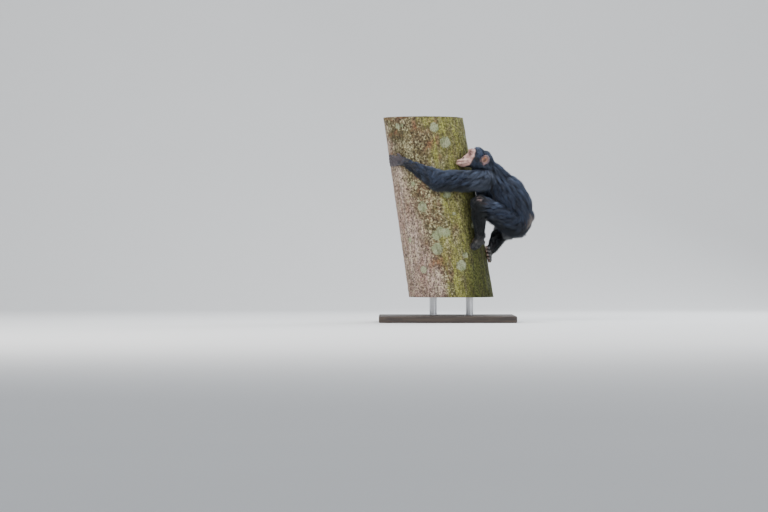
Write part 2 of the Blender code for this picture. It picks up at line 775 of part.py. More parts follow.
def scatter(mesh, spacing, seed):
    """Places on the mesh, at random but no closer than the spacing."""
    corners = np.array([[mesh.vertices[index].co for index in face.vertices] for face in mesh.polygons])
    first, second = corners[:, 1] - corners[:, 0], corners[:, 2] - corners[:, 0]
    area = np.linalg.norm(np.cross(first, second), axis=1)
    draw = np.random.default_rng(seed)
    chosen = draw.choice(len(area), 9000, p=area / area.sum())
    shares = draw.random((9000, 2))
    flip = shares.sum(axis=1) > 1.0
    shares[flip] = 1.0 - shares[flip]
    places = corners[chosen, 0] + shares[:, :1] * first[chosen] + shares[:, 1:] * second[chosen]
    kept = []
    for place in places:
        if all(((place - other) ** 2).sum() > spacing ** 2 for other in kept):
            kept.append(place)
    return np.array(kept), draw


def follow(core, points, heading, reach, level):
    """Goes along the lie over the core, to end at the given height above it."""
    for part in range(3):
        normal = steepest(core, points)
        heading = heading - (heading * normal).sum(axis=-1, keepdims=True) * normal
        heading /= np.maximum(np.linalg.norm(heading, axis=-1, keepdims=True), 1e-9)
        points = points + heading * reach[:, None] / 3.0
    for part in range(2):
        points = points - steepest(core, points) * (core(points) - level)[:, None]
    return points, heading


def lock_mesh(name, spine, normals, width, thickness):
    """A flat blade with a ridge: three four-sided rings and a pointed tip."""
    vertices = []
    for number, (breadth, depth) in enumerate(((0.60, 0.90), (1.00, 1.00), (0.72, 0.75))):
        along = spine[min(number + 1, 3)] - spine[max(number - 1, 0)]
        side = np.cross(along, normals[number])
        side = 0.5 * width * breadth * side / np.linalg.norm(side)
        over = 0.5 * thickness * depth * normals[number]
        vertices += [spine[number] + side, spine[number] + over, spine[number] - side, spine[number] - over]
    vertices.append(spine[3])
    faces = [(3, 2, 1, 0)]
    for ring in (0, 4):
        for corner in range(4):
            after = (corner + 1) % 4
            faces.append((ring + corner, ring + after, ring + 4 + after, ring + 4 + corner))
    faces += [(8 + corner, 8 + (corner + 1) % 4, 12) for corner in range(4)]
    work = bmesh.new()
    made = [work.verts.new(vertex) for vertex in vertices]
    for face in faces:
        work.faces.new([made[index] for index in face])
    bmesh.ops.triangulate(work, faces=work.faces)
    bmesh.ops.recalc_face_normals(work, faces=work.faces)
    mesh = bpy.data.meshes.new(name)
    work.to_mesh(mesh)
    work.free()
    return mesh


def in_the_open(points):
    """Whether no other limb's coat lies against this place."""
    fields = part_fields(points, 1.0)
    normals = []
    for index in range(5):
        normals.append(steepest(lambda near, index=index: part_fields(near, 1.0)[index], points))
    free = np.ones(points.shape[:-1], bool)
    for first, second in itertools.combinations(range(5), 2):
        close = (fields[first] < 0.006) & (fields[second] < 0.006)
        agree = (normals[first] * normals[second]).sum(axis=-1) > 0.35
        free &= ~close | agree
    return free


def off_the_bark(points):
    """How far a place is from the trunk's surface."""
    axis = np.stack([trunk_axis(height) for height in points[..., 2].ravel()]).reshape(points.shape)
    offset = (points - axis) * vector(math.cos(TRUNK_LEAN), 1.0, 0.0)
    return np.linalg.norm(offset, axis=-1) - trunk_radius(points[..., 2])


def add_locks(body):
    """Sets locks over the core, and fuses them with it."""
    def core(points):
        return body_field(points, CORE)

    roots, draw = scatter(body.data, LOCK_SPACING, 7)
    count = len(roots)
    reach = LOCK_REACH * draw.uniform(0.8, 1.15, count)
    heading = lie(roots) + 0.18 * draw.normal(size=(count, 3))
    coat = core(roots) - body_field(roots, 1.0)
    normal = steepest(core, roots)
    along = heading - (heading * normal).sum(axis=-1, keepdims=True) * normal
    along /= np.linalg.norm(along, axis=-1, keepdims=True)
    sunk = roots - along * 0.2 * reach[:, None] - normal * LOCK_SINK
    surface, heading = follow(core, roots, heading, 0.05 * reach, 0.15 * coat)
    middle, heading = follow(core, surface, heading, 0.45 * reach, 0.55 * coat)
    tip, heading = follow(core, middle, heading, 0.50 * reach, coat)
    spines = np.stack((sunk, surface, middle, tip), axis=1)
    normals = np.stack([steepest(core, spines[:, number]) for number in range(4)], axis=1)
    ends = [JOINTS[side + name] for side in ("left", "right") for name in ("_wrist", "_ankle")]
    fit = in_the_open(surface) & in_the_open(middle) & in_the_open(tip)
    for number in range(1, 4):
        fit &= off_the_bark(spines[:, number]) > 0.012
        fit &= head_field(spines[:, number], 1.0) > 0.006
        for end in ends:
            fit &= np.linalg.norm(spines[:, number] - end, axis=-1) > 0.040
    bent = (normals[:, 1] * normals[:, 3]).sum(axis=-1)
    fit &= bent > 0.1
    holder = bpy.data.collections.new("locks")
    bpy.context.scene.collection.children.link(holder)
    for index in np.flatnonzero(fit)[:LOCK_LIMIT]:
        width = LOCK_WIDTH * draw.uniform(0.8, 1.2)
        thickness = min(LOCK_THICKNESS, coat[index])
        mesh = lock_mesh(f"lock_{index}", spines[index], normals[index], width, thickness)
        holder.objects.link(bpy.data.objects.new(mesh.name, mesh))
    modifier = body.modifiers.new("Boolean", "BOOLEAN")
    modifier.operand_type = "COLLECTION"
    modifier.collection = holder
    modifier.operation = "UNION"
    modifier.solver = "MANIFOLD"
    apply_modifiers(body)
    for item in list(holder.objects):
        remove(item)
    bpy.data.collections.remove(holder)


# The animal


def box_round(centres, margin):
    centres = np.array(centres)
    return centres.min(axis=0) - margin, centres.max(axis=0) + margin


def joint_cuts():
    """Where the body is parted: a point of the cut, its direction, and the cut's radius."""
    cuts = []
    for side in ("left", "right"):
        shoulder, elbow, wrist, hip, knee, ankle = limb_joints(side)
        root = shoulder + SHOULDER_SHARE * (elbow - shoulder)
        cuts.append((root, SHOULDER_NORMAL[side], 0.078))
        cuts.append((elbow, direction(shoulder, elbow) + direction(elbow, wrist), 0.072))
        cuts.append((wrist, wrist - elbow, 0.040))
        root = hip + GROIN_SHARE[side] * (knee - hip)
        cuts.append((root, GROIN_NORMAL[side], GROIN_BLADE[side]))
        inward = direction(knee, hip) + direction(knee, ankle)
        fold = knee + KNEE_FOLD * inward / np.linalg.norm(inward)
        cuts.append((fold, direction(hip, knee) + direction(knee, ankle), 0.084))
        cuts.append((ankle, ankle - knee, 0.034))
    cuts.append((NECK_BASE, NECK_BASE_NORMAL, 0.085))
    return cuts


def stations():
    """A point inside each node that the cuts leave."""
    places = {"torso": RIBS, "neck": NECK_TOP}
    for side in ("left", "right"):
        shoulder, elbow, wrist, hip, knee, ankle = limb_joints(side)
        places[side + "_upper_arm"] = 0.5 * (shoulder + elbow)
        places[side + "_forearm"] = 0.5 * (elbow + wrist)
        places[side + "_thigh"] = 0.35 * hip + 0.65 * knee
        places[side + "_shank"] = 0.5 * (knee + ankle)
    return places


def thin_disc(point, normal, radius):
    """The round blade of one cut, as thick as the gap."""
    turn = Vector(normal).to_track_quat("Z", "Y").to_matrix().to_4x4()
    return round_bar("blade", Matrix.Translation(Vector(point)) @ turn, radius, GAP)


def make_body(coat_material, trunk_clearance):
    low, high = box_round(list(JOINTS.values()) + [SKULL_BASE, LOINS + vector(0.04, 0.0, 0.0)], 0.075)
    body = grid_mesh("body", lambda points: body_field(points, CORE), low, high, BODY_STEP)
    thin_out(body, BODY_TRIANGLES)
    add_locks(body)
    combine(body, trunk_clearance, "DIFFERENCE")
    for point, normal, radius in joint_cuts():
        blade = thin_disc(point, normal, radius)
        combine(body, blade, "DIFFERENCE")
        remove(blade)
    pieces = loose_pieces(body)
    for name, station in stations().items():
        nearest = min(pieces, key=lambda piece: np.linalg.norm(np.array(piece[0]) - station, axis=1).min())
        pieces.remove(nearest)
        mesh = bpy.data.meshes.new(name)
        mesh.from_pydata(nearest[0], [], nearest[1])
        node = new_object(name, mesh)
        if name == "neck":
            keep_side(node, NECK_TOP, -NECK_TOP_NORMAL)
        finish(node, coat_material)
    remove(body)


def make_extremity(name, field, box, cut, triangles, material, trunk_clearance):
    """A hand or foot, meshed finely and cut from the limb at its joint."""
    item = grid_mesh(name, field, *box, FINE_STEP)
    thin_out(item, triangles)
    combine(item, trunk_clearance, "DIFFERENCE")
    keep_side(item, *cut)
    keep_largest(item)
    finish(item, material)


def make_head(skin, coat, eye_material, ear_material, trunk_clearance):
    reach = 0.135
    low, high = HEAD_CENTRE - reach, HEAD_CENTRE + reach
    low[2] = HEAD_CENTRE[2] - 0.085
    high[2] = HEAD_CENTRE[2] + 0.070

    def whole(points):
        return blend(head_field(points, 1.0), neck_field(points, CORE), 0.020)

    head = grid_mesh("head", whole, low, high, HEAD_STEP)
    thin_out(head, HEAD_TRIANGLES)
    combine(head, trunk_clearance, "DIFFERENCE")
    keep_side(head, NECK_TOP, NECK_TOP_NORMAL)
    for side, name in ((1, "left"), (-1, "right")):
        centre = EYE_CENTRE * vector(1.0, side, 1.0)
        eye = make_ball(name + "_eye", from_head(centre), EYE_RADIUS)
        clear_of(head, eye)
        finish(eye, eye_material)
    keep_largest(head)
    finish(head, skin)
    for side, name in ((1, "left"), (-1, "right")):
        root = from_head(EAR_ROOT * vector(1.0, side, 1.0))
        low, high = root - 0.055, root + 0.055
        ear = grid_mesh(name + "_ear", lambda points: ear_field(points, side), low, high, 0.0016)
        thin_out(ear, EAR_TRIANGLES)
        clear_of(ear, head)
        keep_largest(ear)
        finish(ear, ear_material)
    for name in ("torso", "neck", "left_upper_arm"):
        node = bpy.data.objects[name]
        for neighbour in ("head", "left_ear", "right_ear"):
            clear_of(node, bpy.data.objects[neighbour])
        keep_largest(node)
        finish(node, coat)


def make_ball(name, centre, radius):
    mesh = bpy.data.meshes.new(name)
    work = bmesh.new()
    place = Matrix.Translation(Vector(centre))
    bmesh.ops.create_icosphere(work, subdivisions=2, radius=radius, matrix=place)
    work.to_mesh(mesh)
    work.free()
    return new_object(name, mesh)


def main():
    for item in list(bpy.data.objects):
        bpy.data.objects.remove(item)
    coat = material_of("coat", (0.020, 0.021, 0.026), 0.75)
    face = material_of("face_skin", (0.62, 0.42, 0.38), 0.60)
    dark_skin = material_of("dark_skin", (0.12, 0.09, 0.09), 0.60)
    ear_skin = material_of("ear_skin", (0.50, 0.33, 0.30), 0.60)
    eye = material_of("eye", (0.06, 0.03, 0.02), 0.15)
    bark = material_of("bark", (0.38, 0.29, 0.25), 0.90)
    metal = material_of("stand_metal", (0.30, 0.30, 0.31), 0.40, 1.0)
    board = material_of("stand_board", (0.16, 0.15, 0.14), 0.55)

    trunk = trunk_mesh("perch_trunk", TRUNK_BOTTOM, 9, 40, bark_relief)
    finish(trunk, bark)
    make_stand(metal, board)
    trunk_clearance = trunk_mesh("trunk_clearance", 0.02, 24, 96, clearance_relief)
    make_body(coat, trunk_clearance)
    for side, hand_patch, foot_patch in (
        ("left", LEFT_HAND_PATCH, LEFT_FOOT_PATCH),
        ("right", RIGHT_HAND_PATCH, RIGHT_FOOT_PATCH),
    ):
        shoulder, elbow, wrist, hip, knee, ankle = limb_joints(side)

        def hand(points, side=side, patch=hand_patch):
            return blend(hand_field(points, side, patch), arm_field(points, side, CORE), 0.006)

        def foot(points, side=side, patch=foot_patch):
            return blend(foot_field(points, side, patch), leg_field(points, side, CORE), 0.006)

        box = box_round([wrist, hand_patch(0.08, 0.03, 0.0), hand_patch(0.08, -0.03, 0.0)], 0.045)
        cut = (wrist, wrist - elbow)
        make_extremity(side + "_hand", hand, box, cut, HAND_TRIANGLES, dark_skin, trunk_clearance)
        box = box_round([ankle, foot_patch(-0.03, 0.0, 0.0), foot_patch(0.10, 0.0, 0.0)], 0.050)
        cut = (ankle, ankle - knee)
        make_extremity(side + "_foot", foot, box, cut, FOOT_TRIANGLES, dark_skin, trunk_clearance)
    make_head(face, coat, eye, ear_skin, trunk_clearance)
    remove(trunk_clearance)


main()
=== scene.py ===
import math

import bmesh
import bpy
import numpy as np
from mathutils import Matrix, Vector


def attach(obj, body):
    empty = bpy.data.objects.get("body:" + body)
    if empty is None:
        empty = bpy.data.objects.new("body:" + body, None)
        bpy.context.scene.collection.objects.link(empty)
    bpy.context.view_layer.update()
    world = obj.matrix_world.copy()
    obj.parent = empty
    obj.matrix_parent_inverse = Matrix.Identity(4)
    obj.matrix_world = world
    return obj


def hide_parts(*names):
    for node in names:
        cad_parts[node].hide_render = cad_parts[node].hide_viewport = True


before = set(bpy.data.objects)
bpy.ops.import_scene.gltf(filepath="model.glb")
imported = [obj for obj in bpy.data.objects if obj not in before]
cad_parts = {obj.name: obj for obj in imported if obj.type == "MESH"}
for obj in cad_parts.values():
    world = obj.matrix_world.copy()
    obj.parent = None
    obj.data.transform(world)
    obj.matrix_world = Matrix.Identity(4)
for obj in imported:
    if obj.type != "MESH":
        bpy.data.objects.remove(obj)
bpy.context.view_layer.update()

# The studio: a pale floor that curves up into a pale wall, far larger than the model.
# It is matt and even, so that the coat and the bark show their own colour.


def add(tree, kind, inputs=None, **settings):
    """A node with its settings, whose inputs are given as values or as sockets to link."""
    made = tree.nodes.new(kind)
    for name, value in settings.items():
        setattr(made, name, value)
    for name, value in (inputs or {}).items():
        if isinstance(value, bpy.types.NodeSocket):
            tree.links.new(value, made.inputs[name])
        else:
            made.inputs[name].default_value = value
    return made


def finish_named(name, roughness, **sockets):
    """A material with one Principled shader, its constant values set on the shader itself."""
    material = bpy.data.materials.new(name)
    material.use_nodes = True
    shader = material.node_tree.nodes["Principled BSDF"]
    shader.inputs["Roughness"].default_value = roughness
    for socket, value in sockets.items():
        shader.inputs[socket.replace("_", " ")].default_value = value
    return material, material.node_tree, shader


def object_place(tree):
    return add(tree, "ShaderNodeTexCoord").outputs["Object"]


def grain(tree, place, scale, detail=4.0, roughness=0.55, distortion=0.0):
    """The grey value of a noise pattern."""
    values = {"Vector": place, "Scale": scale, "Detail": detail, "Roughness": roughness}
    return add(tree, "ShaderNodeTexNoise", {**values, "Distortion": distortion}).outputs[0]


def mixed(tree, share, first, second, blend_type="MIX"):
    """One colour turning into another by the share."""
    made = add(tree, "ShaderNodeMix", {0: share}, data_type="RGBA", blend_type=blend_type)
    for index, colour in ((6, first), (7, second)):
        if isinstance(colour, bpy.types.NodeSocket):
            tree.links.new(colour, made.inputs[index])
        else:
            made.inputs[index].default_value = (*colour, 1.0)
    return made.outputs[2]


def coloured(tree, shader, tone):
    tree.links.new(tone, shader.inputs["Base Color"])


def mesh_object(name, vertices, faces, materials):
    """An object at the origin whose place is in its mesh."""
    mesh = bpy.data.meshes.new(name)
    mesh.from_pydata([tuple(map(float, place)) for place in vertices], [], faces)
    for material in materials:
        mesh.materials.append(material)
    mesh.shade_smooth()
    item = bpy.data.objects.new(name, mesh)
    bpy.context.scene.collection.objects.link(item)
    return item


FLOOR_HALF_WIDTH = 16.0
FLOOR_FRONT = -18.0
WALL_FOOT = 3.0
WALL_CURVE = 2.5
WALL_TOP = 9.0
WALL_STEPS = 17
FLOOR_GREY = (0.78, 0.78, 0.775)
FLOOR_PALE = (0.81, 0.81, 0.805)

material, tree, shader = finish_named("studio_floor", 0.85)
place = object_place(tree)
tone = mixed(tree, grain(tree, place, 1.5), FLOOR_GREY, FLOOR_PALE)
coloured(tree, shader, tone)
sweep = [(FLOOR_FRONT, 0.0), (-4.0, 0.0), (0.0, 0.0), (WALL_FOOT, 0.0)]
for turn in np.linspace(0.0, 0.5 * math.pi, WALL_STEPS)[1:]:
    sweep.append((WALL_FOOT + WALL_CURVE * math.sin(turn), WALL_CURVE * (1.0 - math.cos(turn))))
sweep.append((WALL_FOOT + WALL_CURVE, WALL_TOP))
vertices = [(side * FLOOR_HALF_WIDTH, depth, height) for depth, height in sweep for side in (-1.0, 1.0)]
faces = [(row, row + 1, row + 3, row + 2) for row in range(0, 2 * len(sweep) - 2, 2)]
mesh_object("studio_sweep", vertices, faces, [material])

# The lights: three large soft panels, the strongest from the upper left as in the picture,
# and a weak one behind that draws the edge of the coat.

LIGHTS = (
    ("key_light", (-2.6, -3.6, 3.4), 2.4, 250.0, (1.0, 0.985, 0.96)),
    ("fill_light", (3.4, -3.2, 1.6), 2.8, 75.0, (0.93, 0.96, 1.0)),
    ("top_light", (0.2, 0.2, 3.6), 2.2, 110.0, (0.93, 0.965, 1.0)),
    ("edge_light", (2.2, 2.3, 2.4), 1.6, 90.0, (0.92, 0.96, 1.0)),
)
AIM = Vector((0.1, 0.0, 0.5))
AIR_COLOUR = (0.80, 0.84, 0.90, 1.0)
AIR_STRENGTH = 0.74

for name, position, size, power, colour in LIGHTS:
    panel = bpy.data.lights.new(name, "AREA")
    panel.size = size
    panel.energy = power
    panel.color = colour
    lamp = bpy.data.objects.new(name, panel)
    lamp.location = position
    lamp.rotation_euler = (AIM - Vector(position)).to_track_quat("-Z", "Y").to_euler()
    bpy.context.scene.collection.objects.link(lamp)
world = bpy.data.worlds.new("studio_air")
world.use_nodes = True
air = world.node_tree.nodes["Background"].inputs
air["Color"].default_value = AIR_COLOUR
air["Strength"].default_value = AIR_STRENGTH
bpy.context.scene.world = world

# The camera: level and far off, as a long lens sees a thing in the next tree. The model's
# place in the frame is the animal's place in the picture.

CAMERA_PLACE = (-0.2772, -14.0, 0.2904)
PICTURE_COLUMNS = 768
COLUMN_WIDTH = 0.0044               # metres at the animal
FRAME_WIDTH = PICTURE_COLUMNS * COLUMN_WIDTH
SENSOR = 36.0

lens = bpy.data.cameras.new("camera")
lens.sensor_width = SENSOR
lens.sensor_fit = "HORIZONTAL"
lens.lens = SENSOR * -CAMERA_PLACE[1] / FRAME_WIDTH
lens.clip_start = 0.5
lens.clip_end = 60.0
camera = bpy.data.objects.new("camera", lens)
camera.location = CAMERA_PLACE
camera.rotation_euler = (math.radians(90.0), 0.0, 0.0)
bpy.context.scene.collection.objects.link(camera)
bpy.context.scene.camera = camera

# The stand: a flat board of dark stained wood with eased edges, and two short steel rods
# let into it that carry the trunk's sawn lower end.

BOARD_DARK = (0.030, 0.021, 0.016)
BOARD_BROWN = (0.070, 0.046, 0.031)
BOARD_FIBRE = (0.022, 0.015, 0.012)
STEEL_DARK = (0.46, 0.46, 0.47)
STEEL_PALE = (0.62, 0.62, 0.63)


def step_up(tree, value, low, high):
    """Rises smoothly from 0 at `low` to 1 at `high`, or falls where `low` is the larger."""
    limits = {"Value": value, "From Min": low, "From Max": high}
    return add(tree, "ShaderNodeMapRange", limits, interpolation_type="SMOOTHSTEP").outputs[0]


def stretched(tree, place, scales):
    return add(tree, "ShaderNodeVectorMath", {0: place, 1: scales}, operation="MULTIPLY").outputs[0]


def bumped(tree, shader, height, strength, distance):
    bump = add(tree, "ShaderNodeBump", {"Height": height, "Strength": strength, "Distance": distance})
    tree.links.new(bump.outputs[0], shader.inputs["Normal"])


material, tree, shader = finish_named("stained_board", 0.55, Coat_Weight=0.08, Coat_Roughness=0.35)
place = object_place(tree)
drawn = stretched(tree, place, (1.6, 26.0, 26.0))
fibre = grain(tree, drawn, 3.0, 8.0, 0.65, 0.6)
figure = grain(tree, drawn, 0.55, 3.0, 0.5, 1.2)
tone = mixed(tree, figure, BOARD_DARK, BOARD_BROWN)
tone = mixed(tree, step_up(tree, fibre, 0.42, 0.62), tone, BOARD_FIBRE)
coloured(tree, shader, tone)
bumped(tree, shader, fibre, strength=0.25, distance=0.0004)
board = bpy.data.objects["stand_base"]
board.data.materials[0] = material

material, tree, shader = finish_named("brushed_rod", 0.32, Metallic=1.0)
place = object_place(tree)
turned = stretched(tree, place, (4.0, 4.0, 420.0))
marks = grain(tree, turned, 2.0, 3.0)
coloured(tree, shader, mixed(tree, marks, STEEL_DARK, STEEL_PALE))
bumped(tree, shader, marks, strength=0.15, distance=0.0002)
for name in ("stand_rod_1", "stand_rod_2"):
    bpy.data.objects[name].data.materials[0] = material

# The trunk: a sawn length of a living tree. Its thin bark is fissured lengthways, pinkish
# and grey, mossy on the side away from the light, and spotted with crusts of pale lichen.
# The side toward the light is painted lighter and pinker, and the side away from it darker:
# painted light and painted shade.

TRUNK_LEAN = math.radians(8.96)
TRUNK_AXIS_X = 0.0365
TRUNK_RADIUS = 0.1857
TRUNK_TAPER = 0.0143
TRUNK_BOTTOM = 0.110
TRUNK_TOP = 0.898
BARK_SIDES = 320
BARK_RINGS = 236
BARK_SINK = 0.0006                  # how far the bark's mean surface lies below the solid's
FISSURE_DEPTH = 0.0030
FISSURE_SCALE = 30.0
LUMP_SCALE = 22.0
LUMP_HEIGHT = 0.0080
RELIEF_LIMIT = 0.0011               # how far the bark may rise over the solid's surface
CAP_RINGS = (0.25, 0.5, 0.75, 0.93, 0.985)      # of corners on each sawn end, from the middle out


def vector(*values):
    return np.array(values, dtype=float)


def maths(tree, operation, first, second=0.0, third=0.0):
    """The result of one operation on two values, or on three where they are multiplied and added."""
    inputs = {0: first, 1: second}
    if operation == "MULTIPLY_ADD":
        inputs[2] = third
    return add(tree, "ShaderNodeMath", inputs, operation=operation).outputs[0]


def times(tree, first, second):
    return maths(tree, "MULTIPLY", first, second)


def less(tree, first, second):
    return maths(tree, "SUBTRACT", first, second)


def times_plus(tree, first, second, third):
    """The first times the second, plus the third."""
    return maths(tree, "MULTIPLY_ADD", first, second, third)


def trunk_radius(height):
    return TRUNK_RADIUS - TRUNK_TAPER * height


def trunk_axis(height):
    height = np.asarray(height, dtype=float)
    zero = np.zeros(height.shape)
    return np.stack((TRUNK_AXIS_X - math.tan(TRUNK_LEAN) * height, zero, height), axis=-1)


def group_with(name, sockets):
    """A Geometry Nodes tree with the named inputs, and its input and output nodes."""
    tree = bpy.data.node_groups.new(name, "GeometryNodeTree")
    tree.interface.new_socket("Geometry", in_out="INPUT", socket_type="NodeSocketGeometry")
    for socket, kind in sockets.items():
        tree.interface.new_socket(socket, in_out="INPUT", socket_type=kind)
    tree.interface.new_socket("Geometry", in_out="OUTPUT", socket_type="NodeSocketGeometry")
    return tree, tree.nodes.new("NodeGroupInput").outputs, tree.nodes.new("NodeGroupOutput")


def settled(item, name):
    """The item with its modifiers worked out, as a plain mesh in an object of its own."""
    graph = bpy.context.evaluated_depsgraph_get()
    graph.update()
    mesh = bpy.data.meshes.new_from_object(item.evaluated_get(graph), depsgraph=graph)
    mesh.name = name
    made = bpy.data.objects.new(name, mesh)
    bpy.context.scene.collection.objects.link(made)
    return made


def grown(item, tree, name, values, materials):
    """What the tree makes of the item with these values."""
    modifier = item.modifiers.new(name, "NODES")
    modifier.node_group = tree
    for socket in tree.interface.items_tree:
        if socket.in_out == "INPUT" and socket.name in values:
            modifier[socket.identifier] = values[socket.name]
    made = settled(item, name)
    item.modifiers.clear()
    if not made.data.materials:
        for material in materials:
            made.data.materials.append(material)
    return made


def levelled(tree, place):
    """The place's parts, and its X as it would be if the trunk stood upright."""
    parts = add(tree, "ShaderNodeSeparateXYZ", {0: place}).outputs
    return parts, times_plus(tree, parts[2], math.tan(TRUNK_LEAN), parts[0])


def stretched_place(tree, place):
    """Coordinates that are drawn out along the trunk, and follow its lean."""
    parts, level = levelled(tree, place)
    height = times(tree, parts[2], 0.16)
    return add(tree, "ShaderNodeCombineXYZ", {0: level, 1: parts[1], 2: height}).outputs[0]


def fissures(tree, place):
    """1 in the cracks of the bark, 0 between them."""
    along = stretched_place(tree, place)
    wave = grain(tree, along, FISSURE_SCALE, 5.0, 0.62, 0.5)
    return step_up(tree, maths(tree, "ABSOLUTE", less(tree, wave, 0.5)), 0.055, 0.0)


LICHEN_COUNT = 34
LICHEN_HEIGHTS = (0.13, 0.88)
LICHEN_SIZES = (0.005, 0.014)
# The largest crusts of lichen: the turn round the trunk in degrees, the height and the radius.
CRUSTS = (
    (64, 0.785, 0.026), (77, 0.850, 0.021), (100, 0.322, 0.026), (84, 0.392, 0.020), (92, 0.400, 0.018),
    (98, 0.380, 0.021), (74, 0.560, 0.019), (112, 0.505, 0.022), (70, 0.250, 0.024), (125, 0.232, 0.017),
)
BARK_BROWN = (0.150, 0.096, 0.064)
BARK_OLIVE = (0.094, 0.084, 0.038)
BARK_RUST = (0.180, 0.092, 0.050)
BARK_CREAM = (0.350, 0.335, 0.205)
BARK_LILAC = (0.300, 0.205, 0.180)
BARK_PINK = (0.450, 0.350, 0.315)
PIT_DARK = (0.036, 0.023, 0.013)
CRACK_DARK = (0.034, 0.024, 0.014)
MOSS_DARK = (0.050, 0.058, 0.010)
MOSS_GREEN = (0.200, 0.208, 0.036)
MOSS_TIPS = (0.300, 0.290, 0.130)
SHADE_TINT = (0.11, 0.15, 0.08)
SPECKLE_DARK = (0.52, 0.50, 0.48)
SPECKLE_PALE = (1.32, 1.30, 1.24)
LICHEN_GREY = (0.215, 0.260, 0.135)
LICHEN_PALE = (0.340, 0.360, 0.235)
LICHEN_FLECK = (0.170, 0.190, 0.105)

material, tree, shader = finish_named("bark", 0.88, Specular_IOR_Level=0.25)
place = object_place(tree)
parts, level = levelled(tree, place)
across = less(tree, level, TRUNK_AXIS_X)
along = stretched_place(tree, place)
broad = grain(tree, place, 5.0, 3.0, 0.6)
patch = grain(tree, place, 15.0, 4.0, 0.6)
mottle = grain(tree, place, 92.0, 6.0, 0.74)
fleck = grain(tree, place, 150.0, 4.0, 0.72)
fine = grain(tree, place, 260.0, 3.0, 0.7)
streak = grain(tree, along, 42.0, 4.0, 0.65)
crack = times(tree, fissures(tree, place), step_up(tree, streak, 0.40, 0.60))
tone = mixed(tree, step_up(tree, broad, 0.36, 0.64), BARK_BROWN, BARK_OLIVE)
tone = mixed(tree, step_up(tree, patch, 0.56, 0.70), tone, BARK_RUST)
spread = times_plus(tree, less(tree, patch, 0.5), -0.55, mottle)
cream = times(tree, step_up(tree, spread, 0.51, 0.58), step_up(tree, fleck, 0.38, 0.52))
tone = mixed(tree, cream, tone, BARK_CREAM)
# Painted light over the bark's own lilac and pink tone: the side toward the key light is painted lighter and
# pinker, mottled so that some bark stays clear.
lit_side = times_plus(tree, parts[2], 0.20, across)
lit_side = step_up(tree, times_plus(tree, patch, 0.16, lit_side), 0.115, 0.040)
clear = times_plus(tree, step_up(tree, mottle, 0.60, 0.42), 0.50, 0.42)
lilac = mixed(tree, step_up(tree, streak, 0.40, 0.62), BARK_LILAC, BARK_PINK)
tone = mixed(tree, times(tree, lit_side, clear), tone, lilac)
pits = times_plus(tree, fleck, 0.5, times(tree, mottle, 0.5))
pits = step_up(tree, pits, 0.478, 0.430)
tone = mixed(tree, times(tree, pits, 0.88), tone, PIT_DARK)
damp = times_plus(tree, grain(tree, place, 6.0, 4.0, 0.6), 0.26, across)
damp = times_plus(tree, less(tree, streak, 0.5), 0.16, damp)
moss = step_up(tree, damp, 0.095, 0.200)
moss_patch = times_plus(tree, fleck, 0.4, times(tree, streak, 0.6))
moss_patch = step_up(tree, moss_patch, 0.42, 0.55)
green = mixed(tree, step_up(tree, streak, 0.36, 0.64), MOSS_DARK, MOSS_GREEN)
green = mixed(tree, step_up(tree, fine, 0.46, 0.62), green, MOSS_TIPS)
cover = times(tree, moss, times_plus(tree, moss_patch, 0.50, 0.46))
tone = mixed(tree, cover, tone, green)
# Painted shade: the side away from the key light is darkened with the shade tint.
shade_side = step_up(tree, times_plus(tree, parts[2], -0.16, across), 0.000, 0.085)
painted_shade_tone = mixed(tree, 1.0, tone, SHADE_TINT, "MULTIPLY")
tone = mixed(tree, times(tree, shade_side, 0.80), tone, painted_shade_tone)
darker = mixed(tree, 1.0, tone, SPECKLE_DARK, "MULTIPLY")
lighter = mixed(tree, 1.0, tone, SPECKLE_PALE, "MULTIPLY")
tone = mixed(tree, step_up(tree, grain(tree, place, 112.0, 5.0, 0.7), 0.43, 0.57), darker, lighter)
crust = add(tree, "ShaderNodeAttribute", attribute_name="lichen").outputs["Fac"]
crust = times_plus(tree, less(tree, mottle, 0.5), 0.85, crust)
crust = times_plus(tree, less(tree, fleck, 0.5), 0.90, crust)
crust = step_up(tree, crust, 0.46, 0.60)
pale = mixed(tree, step_up(tree, patch, 0.42, 0.58), LICHEN_GREY, LICHEN_PALE)
pale = mixed(tree, step_up(tree, fine, 0.52, 0.40), pale, LICHEN_FLECK)
tone = mixed(tree, times(tree, crust, 0.80), tone, pale)
tone = mixed(tree, times(tree, crack, 0.60), tone, CRACK_DARK)
coloured(tree, shader, tone)
height = times_plus(tree, fleck, 0.55, times(tree, mottle, 0.7))
height = times_plus(tree, fine, 0.25, height)
height = times_plus(tree, crust, 0.35, height)
bumped(tree, shader, height, strength=0.9, distance=0.0024)
bark = material

WOOD_EARLY = (0.560, 0.400, 0.235)
WOOD_LATE = (0.360, 0.215, 0.110)
WOOD_HEART = (0.300, 0.150, 0.075)
WOOD_RAYS = (0.30, 0.2, 0.12)
RIND_BROWN = (0.110, 0.072, 0.048)
RING_WAVES = 1150.0                 # radians for each metre, for the rings and the marks of the saw
SAW_WAVES = 2600.0

